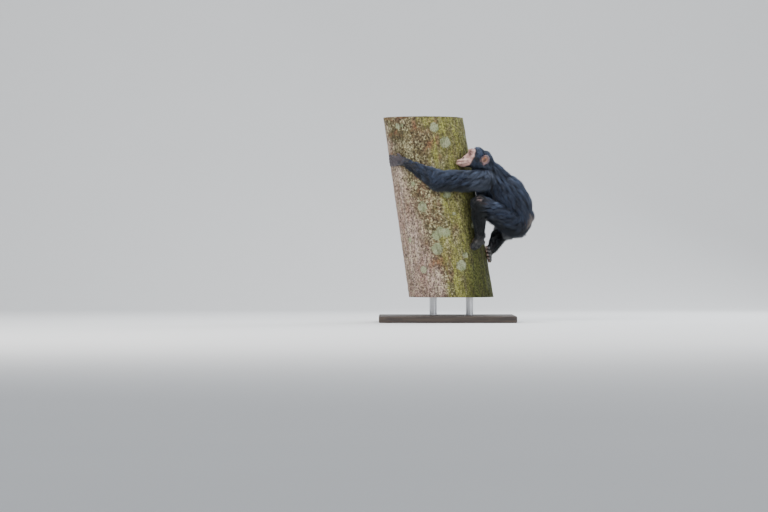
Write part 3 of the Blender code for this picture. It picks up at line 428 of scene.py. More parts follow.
material, tree, shader = finish_named("sawn_wood", 0.75)
place = object_place(tree)
parts, level = levelled(tree, place)
across = less(tree, level, TRUNK_AXIS_X)
wander = times(tree, grain(tree, place, 9.0, 3.0), 0.018)
flat = add(tree, "ShaderNodeCombineXYZ", {0: across, 1: parts[1], 2: 0.0}).outputs[0]
reach = add(tree, "ShaderNodeVectorMath", {0: flat}, operation="LENGTH").outputs["Value"]
reach = maths(tree, "ADD", reach, wander)
ring = maths(tree, "SINE", times(tree, reach, RING_WAVES))
late = step_up(tree, ring, 0.1, 0.95)
tone = mixed(tree, late, WOOD_EARLY, WOOD_LATE)
heart = step_up(tree, reach, 0.110, 0.075)
tone = mixed(tree, times(tree, heart, 0.55), tone, WOOD_HEART)
rays = grain(tree, place, 160.0, 2.0)
tone = mixed(tree, times(tree, step_up(tree, rays, 0.55, 0.75), 0.4), tone, WOOD_RAYS)
rind = step_up(tree, reach, TRUNK_RADIUS - 0.0195, TRUNK_RADIUS - 0.0155)
tone = mixed(tree, rind, tone, RIND_BROWN)
coloured(tree, shader, tone)
saw = maths(tree, "SINE", times(tree, across, SAW_WAVES))
height = times_plus(tree, rays, 1.0, times(tree, saw, 0.25))
bumped(tree, shader, height, strength=0.4, distance=0.0006)
sawn = material

# The trunk's rings of corners from end to end: the share of its radius, and the height.
profile = [(share, TRUNK_BOTTOM) for share in CAP_RINGS]
profile += [(1.0, height) for height in np.linspace(TRUNK_BOTTOM, TRUNK_TOP, BARK_RINGS)]
profile += [(share, TRUNK_TOP) for share in reversed(CAP_RINGS)]
turns = 2.0 * math.pi * np.arange(BARK_SIDES) / BARK_SIDES
vertices = [trunk_axis(TRUNK_BOTTOM)]
for share, height in profile:
    reach = share * (trunk_radius(height) - BARK_SINK)
    ring = trunk_axis(height) + np.stack(
        (reach * np.cos(turns) / math.cos(TRUNK_LEAN), -reach * np.sin(turns), 0.0 * turns), axis=-1
    )
    vertices.extend(ring)
vertices.append(trunk_axis(TRUNK_TOP))
faces, on_cap = [], []
for side in range(BARK_SIDES):
    after = (side + 1) % BARK_SIDES
    faces.append((0, 1 + side, 1 + after))
    on_cap.append(1)
for row in range(len(profile) - 1):
    low, high = 1 + row * BARK_SIDES, 1 + (row + 1) * BARK_SIDES
    for side in range(BARK_SIDES):
        after = (side + 1) % BARK_SIDES
        faces.append((low + side, high + side, high + after, low + after))
        on_cap.append(int(profile[row][0] < 1.0 or profile[row + 1][0] < 1.0))
last = len(vertices) - 1
top_row = 1 + (len(profile) - 1) * BARK_SIDES
for side in range(BARK_SIDES):
    faces.append((last, top_row + (side + 1) % BARK_SIDES, top_row + side))
    on_cap.append(1)
blank = mesh_object("trunk_blank", vertices, faces, [bark, sawn])
blank.data.polygons.foreach_set("material_index", on_cap)
rough = blank.data.attributes.new("rough", "FLOAT", "POINT")
on_bark = [float(share == 1.0) for share, height in profile for side in turns]
rough.data.foreach_set("value", [0.0] + on_bark + [0.0])

places = np.array(vertices)
draw = np.random.default_rng(4)
crusts = [(math.radians(turn), height, reach) for turn, height, reach in CRUSTS]
for number in range(LICHEN_COUNT):
    turn = draw.uniform(0.0, 2.0 * math.pi)
    crusts.append((turn, draw.uniform(*LICHEN_HEIGHTS), draw.uniform(*LICHEN_SIZES)))
lichen = np.zeros(len(places))
for turn, height, reach in crusts:
    out_x, out_y = math.cos(turn) / math.cos(TRUNK_LEAN), -math.sin(turn)
    centre = trunk_axis(height) + trunk_radius(height) * vector(out_x, out_y, 0.0)
    away = np.linalg.norm(places - centre, axis=1) / reach
    lichen = np.maximum(lichen, np.clip(1.25 - 0.75 * away, 0.0, 1.0))
blank.data.attributes.new("lichen", "FLOAT", "POINT").data.foreach_set("value", lichen)

tree, given, out = group_with("bark_relief", {"Depth": "NodeSocketFloat", "Lumps": "NodeSocketFloat"})
where = add(tree, "GeometryNodeInputPosition").outputs[0]
sunk = times(tree, fissures(tree, where), given["Depth"])
lumps = less(tree, grain(tree, where, LUMP_SCALE, 6.0, 0.68, 0.3), 0.5)
rise = less(tree, times(tree, lumps, given["Lumps"]), sunk)
rough = add(tree, "GeometryNodeInputNamedAttribute", {"Name": "rough"}, data_type="FLOAT").outputs[0]
outward = add(tree, "GeometryNodeInputNormal").outputs[0]
rise = times(tree, maths(tree, "MINIMUM", rise, RELIEF_LIMIT), rough)
offset = add(tree, "ShaderNodeVectorMath", {0: outward, "Scale": rise}, operation="SCALE").outputs[0]
moved = add(tree, "GeometryNodeSetPosition", {"Geometry": given["Geometry"], "Offset": offset}).outputs[0]
tree.links.new(moved, out.inputs[0])
trunk = grown(blank, tree, "bark_length", {"Depth": FISSURE_DEPTH, "Lumps": LUMP_HEIGHT}, [bark, sawn])
bpy.data.objects.remove(blank)
trunk.data.set_sharp_from_angle(angle=math.radians(55.0))
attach(trunk, "root")
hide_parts("perch_trunk")

# The animal's form: tapered limbs and rounded masses blended along a skeleton, the same as
# the solids' own. Each function gives the distance to the form's surface, negative inside,
# `coat` going from 0 at the skin to 1 at the tips of the hair.

COAT_BODY = 0.016
COAT_ARM = 0.016
COAT_WRIST = 0.006
COAT_THIGH = 0.015
COAT_ANKLE = 0.005
COAT_NECK = 0.014
COAT_CROWN = 0.009
HEAD_CENTRE = vector(0.1455, -0.137, 0.7255)
HEAD_YAW = math.radians(10.0)
HEAD_PITCH = math.radians(12.0)
SPINE_TOP = vector(0.190, -0.062, 0.637)
CHEST = vector(0.203, -0.060, 0.6045)
RIBS = vector(0.2545, -0.050, 0.5530)
LOINS = vector(0.2787, -0.042, 0.5015)
PELVIS = vector(0.2957, -0.035, 0.4545)
TAIL = vector(0.3550, -0.050, 0.4620)
BREAST = vector(0.180, -0.062, 0.600)
BELLY = vector(0.187, -0.054, 0.562)
SKULL_BASE = vector(0.162, -0.116, 0.704)


def on_trunk(angle, height, lift):
    """The point at this height, `lift` off the bark; angle 0 is the +X side, 90 degrees is -Y."""
    radial_x = vector(math.cos(TRUNK_LEAN), 0.0, math.sin(TRUNK_LEAN))
    radial_y = vector(0.0, -1.0, 0.0)
    reach = trunk_radius(height) + lift
    level = height - reach * math.cos(angle) * math.sin(TRUNK_LEAN)
    return trunk_axis(level) + reach * (math.cos(angle) * radial_x + math.sin(angle) * radial_y)


def bark_patch(angle, height, turn, slope):
    """Maps (forward, sideways, lift) of a hand or foot that lies on the bark to a point."""
    def place(forward, sideways, lift):
        along = forward * math.cos(slope) - sideways * math.sin(slope)
        up = forward * math.sin(slope) + sideways * math.cos(slope)
        return on_trunk(angle + turn * along / trunk_radius(height), height + up, lift)

    return place


HAND_PATCH = {
    "left": bark_patch(math.radians(126.5), 0.702, 1, math.radians(4)),
    "right": bark_patch(math.radians(-113.0), 0.700, -1, math.radians(20)),
}
FOOT_PATCH = {
    "left": bark_patch(math.radians(44.0), 0.345, -1, math.radians(36)),
    "right": bark_patch(math.radians(-21.0), 0.303, 1, math.radians(-2)),
}
LIMB_JOINTS = {
    "left": (
        vector(0.150, -0.145, 0.628), on_trunk(math.radians(85.0), 0.620, 0.035),
        HAND_PATCH["left"](0.0, 0.0, 0.019), vector(0.284, -0.088, 0.446),
        vector(0.137, -0.166, 0.520), vector(0.140, -0.146, 0.366),
    ),
    "right": (
        vector(0.172, 0.036, 0.640), on_trunk(math.radians(-63.0), 0.652, 0.036),
        HAND_PATCH["right"](0.0, 0.0, 0.019), vector(0.300, 0.020, 0.441),
        vector(0.250, 0.172, 0.408), FOOT_PATCH["right"](0.006, 0.012, 0.034),
    ),
}


def limb(points, start, end, start_radius, end_radius):
    """A limb that tapers between two joints, with round ends."""
    axis = end - start
    along = np.clip((points - start) @ axis / (axis @ axis), 0.0, 1.0)
    away = points - start - along[:, None] * axis
    radius = start_radius + (end_radius - start_radius) * along
    return np.sqrt((away * away).sum(axis=1)) - radius


def mass(points, centre, radii):
    """A rounded mass with its own radius along each axis of `points`."""
    offset = (points - centre) / radii
    length = np.sqrt((offset * offset).sum(axis=1))
    offset /= radii
    steepness = np.sqrt((offset * offset).sum(axis=1))
    return length * (length - 1.0) / np.maximum(steepness, 1e-6)


def blend(first, second, width):
    """The two joined, with a hollow of about `width` filled where they meet."""
    share = np.clip(0.5 + 0.5 * (second - first) / width, 0.0, 1.0)
    return second + (first - second) * share - width * share * (1.0 - share)


def carve(first, second, width):
    return -blend(-first, second, width)


def torso_field(points, coat):
    """Chest, ribs, loins and pelvis, with the shoulder girdle and the seat."""
    body = coat * COAT_BODY
    chest = limb(points, CHEST, RIBS, 0.066 + body, 0.075 + body)
    waist = limb(points, RIBS, LOINS, 0.075 + body, 0.079 + body)
    hips = limb(points, LOINS, PELVIS, 0.079 + body, 0.060 + body)
    field = blend(blend(chest, waist, 0.03), hips, 0.03)
    belly = limb(points, BREAST, BELLY, 0.050 + body, 0.048 + body)
    field = blend(field, belly, 0.03)
    tail = limb(points, PELVIS, TAIL, 0.030 + body, 0.018 + body)
    field = blend(field, tail, 0.02)
    for shoulder, elbow, wrist, hip, knee, ankle in LIMB_JOINTS.values():
        girdle = limb(points, SPINE_TOP, shoulder, 0.040 + body, 0.033 + body)
        field = blend(field, girdle, 0.035)
        seat = hip * 0.75 + PELVIS * 0.25 + vector(0.020, 0.0, -0.004)
        field = blend(field, limb(points, seat, seat + 1e-4, 0.042 + body, 0.042 + body), 0.03)
    return field


def neck_field(points, coat):
    return limb(points, SPINE_TOP, SKULL_BASE, 0.040 + coat * COAT_NECK, 0.030 + coat * COAT_NECK)


def arm_field(points, side, coat):
    """Upper arm and forearm, the forearm fuller below the elbow."""
    shoulder, elbow, wrist = LIMB_JOINTS[side][:3]
    hair = coat * COAT_ARM
    bulge = elbow * 0.72 + wrist * 0.28
    upper = limb(points, shoulder, elbow, 0.036 + hair, 0.030 + hair)
    fore = limb(points, elbow, bulge, 0.028 + hair, 0.026 + hair * 0.9)
    thin = limb(points, bulge, wrist, 0.026 + hair * 0.9, 0.0145 + coat * COAT_WRIST)
    return blend(blend(upper, fore, 0.02), thin, 0.015)


def leg_field(points, side, coat):
    """Thigh and shank, with the calf behind the knee."""
    hip, knee, ankle = LIMB_JOINTS[side][3:]
    hair = coat * COAT_THIGH
    calf = knee * 0.66 + ankle * 0.34
    thigh = limb(points, hip, knee, 0.045 + hair, 0.027 + hair)
    upper = limb(points, knee, calf, 0.026 + hair * 0.9, 0.024 + hair * 0.8)
    lower = limb(points, calf, ankle, 0.024 + hair * 0.8, 0.0155 + coat * COAT_ANKLE)
    return blend(blend(thigh, upper, 0.014), lower, 0.015)


def rolled(field, points, line, radius, width):
    """The field with a thin roll laid along the line."""
    for start, end in zip(line, line[1:]):
        field = blend(field, limb(points, start, end, radius, radius), width)
    return field


def bent_digit(points, knots, radius, tip_radius):
    """A digit through its joints, tapering to the tip."""
    field = None
    count = len(knots) - 1
    for index in range(count):
        start = radius + (tip_radius - radius) * index / count
        end = radius + (tip_radius - radius) * (index + 1) / count
        bone = limb(points, knots[index], knots[index + 1], start, end)
        field = bone if field is None else blend(field, bone, 0.004)
    return field


FINGER_START = -0.0177              # how far the first finger lies from the middle of the hand
FINGER_STEP = 0.0118
FINGER_RADIUS = 0.0064
FINGER_TIP_RADIUS = 0.0052
KNUCKLE_RADIUS = 0.0066
THUMB_RADIUS = 0.0074
THUMB_TIP_RADIUS = 0.0055
TOE_START = -0.0160
TOE_STEP = 0.0140
TOE_RADIUS = 0.0074
TOE_TIP_RADIUS = 0.0056
BIG_TOE_RADIUS = 0.0105
BIG_TOE_TIP_RADIUS = 0.0078


def finger_knots(side):
    """The joints of the four fingers and the thumb, from the knuckle to the tip."""
    patch = HAND_PATCH[side]
    digits = []
    for number in range(4):
        across = FINGER_START + FINGER_STEP * number
        reach = 0.051 + 0.003 * (number in (1, 2))
        digits.append([
            patch(reach - 0.010, across * 0.92, 0.0150), patch(reach + 0.009, across, 0.0180),
            patch(reach + 0.030, across * 1.08, 0.0150), patch(reach + 0.042, across * 1.12, 0.0065),
        ])
    digits.append([patch(0.012, 0.010, 0.013), patch(0.025, 0.023, 0.011), patch(0.036, 0.031, 0.0075)])
    return digits


def toe_knots(side):
    """The joints of the four toes and the big toe."""
    patch = FOOT_PATCH[side]
    digits = []
    for number in range(4):
        across = TOE_START + TOE_STEP * number
        reach = 0.068 - 0.0025 * abs(number - 1)
        digits.append([
            patch(reach - 0.012, across * 0.90, 0.0120), patch(reach + 0.010, across * 1.06, 0.0145),
            patch(reach + 0.027, across * 1.14, 0.0120), patch(reach + 0.035, across * 1.16, 0.0065),
        ])
    digits.append([patch(0.026, -0.012, 0.0130), patch(0.046, -0.028, 0.0125), patch(0.061, -0.036, 0.0080)])
    return digits


def hand_field(points, side):
    """Palm on the bark, four fingers bent over it, the thumb held to the upper side."""
    patch = HAND_PATCH[side]
    field = limb(points, LIMB_JOINTS[side][2], patch(0.012, 0.0, 0.017), 0.0150, 0.0150)
    for spread in (-0.010, 0.0, 0.010):
        heel, knuckle = patch(0.010, spread * 0.5, 0.014), patch(0.046, spread, 0.0135)
        field = blend(field, limb(points, heel, knuckle, 0.0115, 0.0100), 0.008)
    digits = finger_knots(side)
    for knots in digits[:4]:
        field = blend(field, bent_digit(points, knots, FINGER_RADIUS, FINGER_TIP_RADIUS), 0.004)
        for joint in knots[1:3]:
            swell = limb(points, joint - 0.0006, joint + 0.0006, KNUCKLE_RADIUS, KNUCKLE_RADIUS)
            field = blend(field, swell, 0.003)
    return blend(field, bent_digit(points, digits[4], THUMB_RADIUS, THUMB_TIP_RADIUS), 0.006)


def foot_field(points, side):
    """Heel and sole on the bark, four toes, the big toe set off to the lower side."""
    patch = FOOT_PATCH[side]
    field = limb(points, LIMB_JOINTS[side][5], patch(-0.004, 0.0, 0.024), 0.0165, 0.0175)
    heel = limb(points, patch(-0.022, 0.0, 0.0150), patch(0.010, 0.0, 0.0160), 0.0160, 0.0170)
    field = blend(field, heel, 0.012)
    for spread in (-0.010, 0.010):
        back, front = patch(0.010, spread * 0.6, 0.0150), patch(0.062, spread, 0.0125)
        field = blend(field, limb(points, back, front, 0.0140, 0.0110), 0.012)
    digits = toe_knots(side)
    for knots in digits[:4]:
        field = blend(field, bent_digit(points, knots, TOE_RADIUS, TOE_TIP_RADIUS), 0.005)
    return blend(field, bent_digit(points, digits[4], BIG_TOE_RADIUS, BIG_TOE_TIP_RADIUS), 0.008)


FORWARD = vector(
    -math.cos(HEAD_YAW) * math.cos(HEAD_PITCH),
    -math.sin(HEAD_YAW) * math.cos(HEAD_PITCH),
    math.sin(HEAD_PITCH),
)
LEFTWARD = vector(math.sin(HEAD_YAW), -math.cos(HEAD_YAW), 0.0)
HEAD_AXES = np.stack((FORWARD, LEFTWARD, np.cross(FORWARD, LEFTWARD)))
EYE_CENTRE = vector(0.0425, 0.0190, 0.000)
NOSTRIL = vector(0.0775, 0.0098, -0.0258)
BROW = (vector(0.0515, 0.0, 0.0130), vector(0.0490, 0.019, 0.0150), vector(0.037, 0.034, 0.0095))
MOUTH_CORNER = vector(0.0590, 0.0250, -0.0350)
MOUTH_FRONT = vector(0.0965, 0.0, -0.0500)
EAR_ROOT = vector(-0.0036, 0.0450, -0.0185)
EAR_HEIGHT = 0.039
EAR_WIDTH = 0.035
OPENING_HALF_WIDTH = 0.0098         # of the eye
UPPER_LID_RISE = 0.0056
LOWER_LID_DROP = -0.0048
LID_REACH = 0.0114                  # from the middle of the eye


def from_head(place):
    return HEAD_CENTRE + place @ HEAD_AXES


def in_head(points):
    """Forward, to either side, and up from the head's centre, as both halves are alike."""
    points = (points - HEAD_CENTRE) @ HEAD_AXES.T
    points[:, 1] = np.sqrt(points[:, 1] ** 2 + 0.0006 ** 2)
    return points


def mouth_line(count):
    """Points along one half of the mouth, from its corner to the front."""
    points = []
    for share in np.linspace(0.0, 1.0, count + 1):
        turn = 0.5 * math.pi * share
        forward = MOUTH_CORNER[0] + (MOUTH_FRONT[0] - MOUTH_CORNER[0]) * math.sin(turn)
        side = MOUTH_CORNER[1] * max(math.cos(turn), 0.0) ** 0.8
        height = MOUTH_CORNER[2] + (MOUTH_FRONT[2] - MOUTH_CORNER[2]) * share ** 0.8
        points.append(vector(forward, side, height))
    return points


def eyelid(count, top):
    """Points along one lid, from the inner to the outer corner of the eye."""
    points = []
    for turn in np.linspace(0.0, math.pi, count + 1):
        side = OPENING_HALF_WIDTH * math.cos(turn)
        rise = (UPPER_LID_RISE if top else LOWER_LID_DROP) * math.sin(turn)
        reach = math.sqrt(max(LID_REACH ** 2 - side ** 2 - rise ** 2, 0.0))
        points.append(EYE_CENTRE + vector(reach, -side, rise))
    return points


def head_field(world, coat):
    """Skull and face."""
    points = in_head(world)
    hair = coat * COAT_CROWN
    skull_radii = vector(0.0290, 0.0410, 0.0315) + hair
    field = mass(points, vector(0.0180, 0.0, 0.0), skull_radii)
    back_radii = vector(0.0280, 0.0385, 0.0275) + hair
    field = blend(field, mass(points, vector(-0.0120, 0.0, -0.0065), back_radii), 0.010)
    nape_radii = vector(0.024, 0.031, 0.026) + hair
    field = blend(field, mass(points, vector(-0.012, 0.0, -0.026), nape_radii), 0.012)
    jowl_back, jowl_front = vector(0.002, 0.027, -0.022), vector(0.034, 0.020, -0.036)
    jowl = limb(points, jowl_back, jowl_front, 0.014 + hair, 0.010 + hair)
    field = blend(field, jowl, 0.015)
    face = mass(points, vector(0.028, 0.0, -0.010), vector(0.025, 0.036, 0.034))
    field = blend(field, face, 0.012)
    muzzle = mass(points, vector(0.0560, 0.0, -0.0385), vector(0.0270, 0.0270, 0.0185))
    lips = mass(points, vector(0.0775, 0.0, -0.0470), vector(0.0205, 0.0215, 0.0155))
    muzzle = blend(muzzle, lips, 0.012)
    jaw = limb(points, vector(0.026, 0.010, -0.040), vector(0.0770, 0.004, -0.0515), 0.0160, 0.0105)
    field = blend(field, blend(muzzle, jaw, 0.008), 0.014)
    brow_middle, brow_peak, brow_end = BROW
    brow = limb(points, brow_middle, brow_peak, 0.0066, 0.0074)
    brow = blend(brow, limb(points, brow_peak, brow_end, 0.0074, 0.0055), 0.004)
    field = blend(field, brow, 0.012)
    cheek = limb(points, vector(0.043, 0.024, -0.0150), vector(0.024, 0.038, -0.0120), 0.0085, 0.0075)
    field = blend(field, cheek, 0.012)
    opening = EYE_CENTRE + vector(0.012, 0.0, 0.0)
    socket = limb(points, opening, opening + vector(0.012, 0.003, -0.002), 0.0085, 0.0105)
    field = carve(field, socket, 0.008)
    bridge = limb(points, vector(0.0500, 0.0, 0.004), vector(0.0700, 0.0, -0.0225), 0.0058, 0.0075)
    field = blend(field, bridge, 0.008)
    wing = limb(points, vector(0.0695, 0.0055, -0.0235), vector(0.0720, 0.0100, -0.0270), 0.0062, 0.0050)
    field = blend(field, wing, 0.004)
    for top in (True, False):
        field = rolled(field, points, eyelid(8, top), 0.0016, 0.0028)
    line = mouth_line(8)
    for rise in (0.0040, -0.0042):
        lip = [place + vector(-0.0022, -0.0018, rise) for place in line]
        field = rolled(field, points, lip, 0.0042, 0.007)
    for start, end in zip(line, line[1:]):
        before, after = start + vector(0.0030, 0.0020, 0.0), end + vector(0.0045, 0.0, 0.0)
        field = carve(field, limb(points, before, after, 0.0016, 0.0016), 0.0018)
    nostril = limb(points, NOSTRIL, NOSTRIL + vector(-0.007, -0.002, 0.001), 0.0030, 0.0020)
    return carve(field, nostril, 0.0015)


def ear_axes():
    """The ear's axes in the head: out along it, up it, and towards what it hears."""
    out = vector(-0.80, 0.60, 0.0)
    out = out / np.linalg.norm(out)
    up = vector(-0.10, 0.0, 1.0)
    up = up - out * (up @ out)
    up = up / np.linalg.norm(up)
    return np.stack((out, up, np.cross(out, up)))


def ear_field(world):
    """A rounded cup with a rolled rim, a lobe, an inner fold and the flap before the canal."""
    points = (in_head(world) - EAR_ROOT) @ ear_axes().T
    middle = vector(0.5 * EAR_WIDTH - 0.005, 0.003, 0.0)
    half_width = 0.5 * EAR_WIDTH
    half_height = 0.5 * EAR_HEIGHT
    field = mass(points, middle, vector(half_width, half_height, 0.0065))
    rim = []
    for turn in np.radians(np.linspace(-95.0, 180.0, 19)):
        across = (half_width - 0.002) * math.cos(turn)
        above = (half_height - 0.002) * math.sin(turn)
        rim.append(middle + vector(across, above, 0.0035))
    field = rolled(field, points, rim, 0.0030, 0.003)
    cup = vector(half_width - 0.0065, half_height - 0.0065, 0.0095)
    field = carve(field, mass(points, middle + vector(-0.003, 0.001, 0.0078), cup), 0.002)
    fold = []
    for turn in np.radians(np.linspace(-60.0, 120.0, 9)):
        fold.append(middle + vector(0.0085 * math.cos(turn), 0.0100 * math.sin(turn), 0.0018))
    field = rolled(field, points, fold, 0.0021, 0.0022)
    lobe = mass(points, vector(0.010, -half_height + 0.004, 0.002), vector(0.0085, 0.0070, 0.0042))
    field = blend(field, lobe, 0.003)
    flap = limb(points, vector(0.001, -0.004, 0.005), vector(0.002, -0.010, 0.005), 0.0036, 0.0030)
    field = blend(field, flap, 0.003)
    root = limb(points, vector(-0.008, 0.004, -0.002), vector(0.006, 0.000, -0.001), 0.0120, 0.0060)
    return blend(field, root, 0.004)


NEAR = 0.012                        # how far outside its box a form is still worked out


def near_only(field, points, low, high):
    """The field where a point is near its box, and the distance to the box elsewhere."""
    outside = np.maximum(np.maximum(low - points, points - high), 0.0)
    result = np.sqrt((outside * outside).sum(axis=1)) + NEAR
    close = result < 2.0 * NEAR
    result[close] = field(points[close])
    return result


def box_round(centres, margin):
    centres = np.array(centres)
    return centres.min(axis=0) - margin, centres.max(axis=0) + margin


HEAD_BOX = (HEAD_CENTRE - vector(0.125, 0.100, 0.075), HEAD_CENTRE + vector(0.075, 0.070, 0.065))


def head_and_neck(points, coat):
    return blend(head_field(points, coat), neck_field(points, coat), 0.020)


def animal_field(points, coat):
    """The whole animal. Limbs blend with the torso, not with each other."""
    torso = torso_field(points, coat)
    field = blend(torso, neck_field(points, coat), 0.03)
    for side in ("left", "right"):
        arm = arm_field(points, side, coat)
        leg = leg_field(points, side, coat)
        field = np.minimum(field, blend(torso, arm, 0.022))
        field = np.minimum(field, blend(torso, leg, 0.018))
        wrist, ankle = LIMB_JOINTS[side][2], LIMB_JOINTS[side][5]
        box = box_round([wrist] + [knots[-1] for knots in finger_knots(side)], 0.022)
        hand = near_only(lambda near: hand_field(near, side), points, *box)
        field = np.minimum(field, blend(hand, arm, 0.006))
        heel = FOOT_PATCH[side](-0.03, 0.0, 0.012)
        box = box_round([ankle, heel] + [knots[-1] for knots in toe_knots(side)], 0.024)
        foot = near_only(lambda near: foot_field(near, side), points, *box)
        field = np.minimum(field, blend(foot, leg, 0.006))
    head = near_only(lambda near: head_and_neck(near, coat), points, *HEAD_BOX)
    field = np.minimum(field, head)
    ears = near_only(ear_field, points, *HEAD_BOX)
    return blend(field, ears, 0.003)


def bark_distance(points):
    """How far a place is from the trunk's round surface."""
    offset = (points - trunk_axis(points[:, 2])) * vector(math.cos(TRUNK_LEAN), 1.0, 0.0)
    return np.sqrt((offset * offset).sum(axis=1)) - trunk_radius(points[:, 2])


def steepest(field, points, step=0.0012):
    """The direction in which the field grows fastest, that is out of the surface."""
    slopes = []
    for axis in range(3):
        shift = np.zeros(3)
        shift[axis] = step
        slopes.append(field(points + shift) - field(points - shift))
    slopes = np.stack(slopes, axis=1)
    return slopes / np.maximum(np.linalg.norm(slopes, axis=1, keepdims=True), 1e-9)


# The skin: one closed surface for the whole animal, so that no seam shows. It is dark grey
# below the coat, pale pink on the face, mauve on the ears, and near black on hands and feet.
# The feet are painted darker still, and the nostrils and ear canals near black: painted shade.

SKIN_STEP = 0.0040
FACE_STEP = 0.0013
HAND_STEP = 0.0022
SKIN_TRIANGLES = 190000
SKIN_OFF_BARK = 0.0022              # the least gap between the skin and the bark's mean surface
BLOCK = 4                           # cells of the grid along one side of a block


def graded(low, high, fine_zones):
    """Places along an axis, closer together inside the fine zones."""
    places = [low]
    while places[-1] < high:
        step = SKIN_STEP
        for start, end, fine in fine_zones:
            if start - 0.004 < places[-1] < end + 0.004:
                step = min(step, fine)
        places.append(places[-1] + step)
    while (len(places) - 1) % BLOCK:
        places.append(places[-1] + SKIN_STEP)
    return np.array(places)


def surface_of(field, axes):
    """The closed surface where the field is zero, one four-sided face for each edge it cuts.

    The field is taken at the centre of each block of cells first, and then only in the
    blocks that the surface may pass.
    """
    shape = np.array([len(axis) for axis in axes])
    blocks = (shape - 1) // BLOCK
    middle = np.stack(np.meshgrid(*[axis[BLOCK // 2::BLOCK] for axis in axes], indexing="ij"), axis=-1)
    level = field(middle.reshape(-1, 3)).reshape(blocks)
    widths = [np.diff(axis[::BLOCK]) for axis in axes]
    size = np.sqrt(np.add.outer(np.add.outer(widths[0] ** 2, widths[1] ** 2), widths[2] ** 2))
    near = np.abs(level) < 0.62 * size + 0.001
    inside = level < 0.0
    for axis in range(3):
        inside = np.repeat(inside, BLOCK, axis=axis)
    inside = np.pad(inside, ((0, 1), (0, 1), (0, 1)), mode="edge")
    wanted = np.zeros(shape, bool)
    for i, j, k in np.argwhere(near):
        wanted[
            i * BLOCK:(i + 1) * BLOCK + 1, j * BLOCK:(j + 1) * BLOCK + 1, k * BLOCK:(k + 1) * BLOCK + 1
        ] = True
    place = np.argwhere(wanted)
    values = np.where(inside, -1.0, 1.0)
    points = np.stack([axes[axis][place[:, axis]] for axis in range(3)], axis=1)
    values[wanted] = field(points)
    values[[0, -1]] = 1.0
    values[:, [0, -1]] = 1.0
    values[:, :, [0, -1]] = 1.0
    inside = values < 0.0
    strides = np.array((shape[1] * shape[2], shape[2], 1))
    flat = values.reshape(-1)
    cells, crossings, quads = [], [], []
    for axis in range(3):
        first = [slice(None)] * 3
        second = [slice(None)] * 3
        first[axis] = slice(0, -1)
        second[axis] = slice(1, None)
        cut = np.argwhere(inside[tuple(first)] != inside[tuple(second)])
        start = cut @ strides
        end = start + strides[axis]
        share = flat[start] / (flat[start] - flat[end])
        spot = np.stack([axes[number][cut[:, number]] for number in range(3)], axis=1)
        spot[:, axis] += share * (axes[axis][cut[:, axis] + 1] - axes[axis][cut[:, axis]])
        one, two = (axis + 1) % 3, (axis + 2) % 3
        around = [start - strides[one] - strides[two], start - strides[two], start, start - strides[one]]
        quad = np.stack(around, axis=1)
        outward = flat[start] < 0.0
        quad[~outward] = quad[~outward][:, ::-1]
        quads.append(quad)
        for ring in around:
            cells.append(ring)
            crossings.append(spot)
    cells = np.concatenate(cells)
    crossings = np.concatenate(crossings)
    names, index, count = np.unique(cells, return_inverse=True, return_counts=True)
    total = np.zeros((len(names), 3))
    for axis in range(3):
        total[:, axis] = np.bincount(index, crossings[:, axis], len(names))
    vertices = total / count[:, None]
    quads = np.searchsorted(names, np.concatenate(quads))
    return vertices, quads


def skin_field(points):
    """The bare animal, held just off the bark."""
    field = animal_field(points, 0.0)
    return np.maximum(field, SKIN_OFF_BARK - bark_distance(points))


zones = [(*HEAD_BOX, FACE_STEP)]
for side, side_joints in LIMB_JOINTS.items():
    hand, foot = HAND_PATCH[side], FOOT_PATCH[side]
    zones.append((*box_round([side_joints[2], hand(0.09, 0.0, 0.01)], 0.03), HAND_STEP))
    zones.append((*box_round([foot(-0.02, 0.0, 0.01), foot(0.10, 0.0, 0.01)], 0.03), HAND_STEP))
outermost = [joint for side in LIMB_JOINTS.values() for joint in side] + [CHEST, PELVIS, HEAD_CENTRE]
outermost += [corner for zone in zones for corner in zone[:2]]
low, high = box_round(outermost, 0.012)
high = np.maximum(high, PELVIS + 0.10)
axes = []
for axis in range(3):
    fine_zones = [(start[axis], end[axis], step) for start, end, step in zones]
    axes.append(graded(low[axis], high[axis], fine_zones))
vertices, quads = surface_of(skin_field, axes)
blank = mesh_object("skin_blank", vertices, quads.tolist(), [])
thin = blank.modifiers.new("fewer_faces", "DECIMATE")
thin.ratio = min(1.0, SKIN_TRIANGLES / (2 * len(quads)))
skin = settled(blank, "skin")
bpy.data.objects.remove(blank)
skin.data.shade_smooth()
bpy.context.view_layer.objects.active = skin
skin.select_set(True)
bpy.ops.object.mode_set(mode="EDIT")
bpy.ops.mesh.select_all(action="SELECT")
bpy.ops.uv.smart_project(angle_limit=math.radians(66.0), island_margin=0.002)
bpy.ops.object.mode_set(mode="OBJECT")
skin.select_set(False)
skin.data.uv_layers[0].name = "skin_unwrap"
mesh = skin.data

count = len(mesh.vertices)
places = np.empty(3 * count)
mesh.vertices.foreach_get("co", places)
places = places.reshape(-1, 3)
normals = np.empty(3 * count)
mesh.vertices.foreach_get("normal", normals)
normals = normals.reshape(-1, 3)


def rising(value, low, high):
    """Rises smoothly from 0 at `low` to 1 at `high`, or falls where `low` is the larger."""
    share = np.clip((value - low) / (high - low), 0.0, 1.0)
    return share * share * (3.0 - 2.0 * share)


def spot(centre, radius):
    """1 within the spot, fading out round its edge."""
    return rising(np.linalg.norm(places - centre, axis=1), radius, 0.55 * radius)


def toned(colours, share, colour):
    return colours * (1.0 - share[:, None]) + vector(*colour) * share[:, None]


BACK_COAT = 0.0034                  # the short hair on the back of the hands and feet

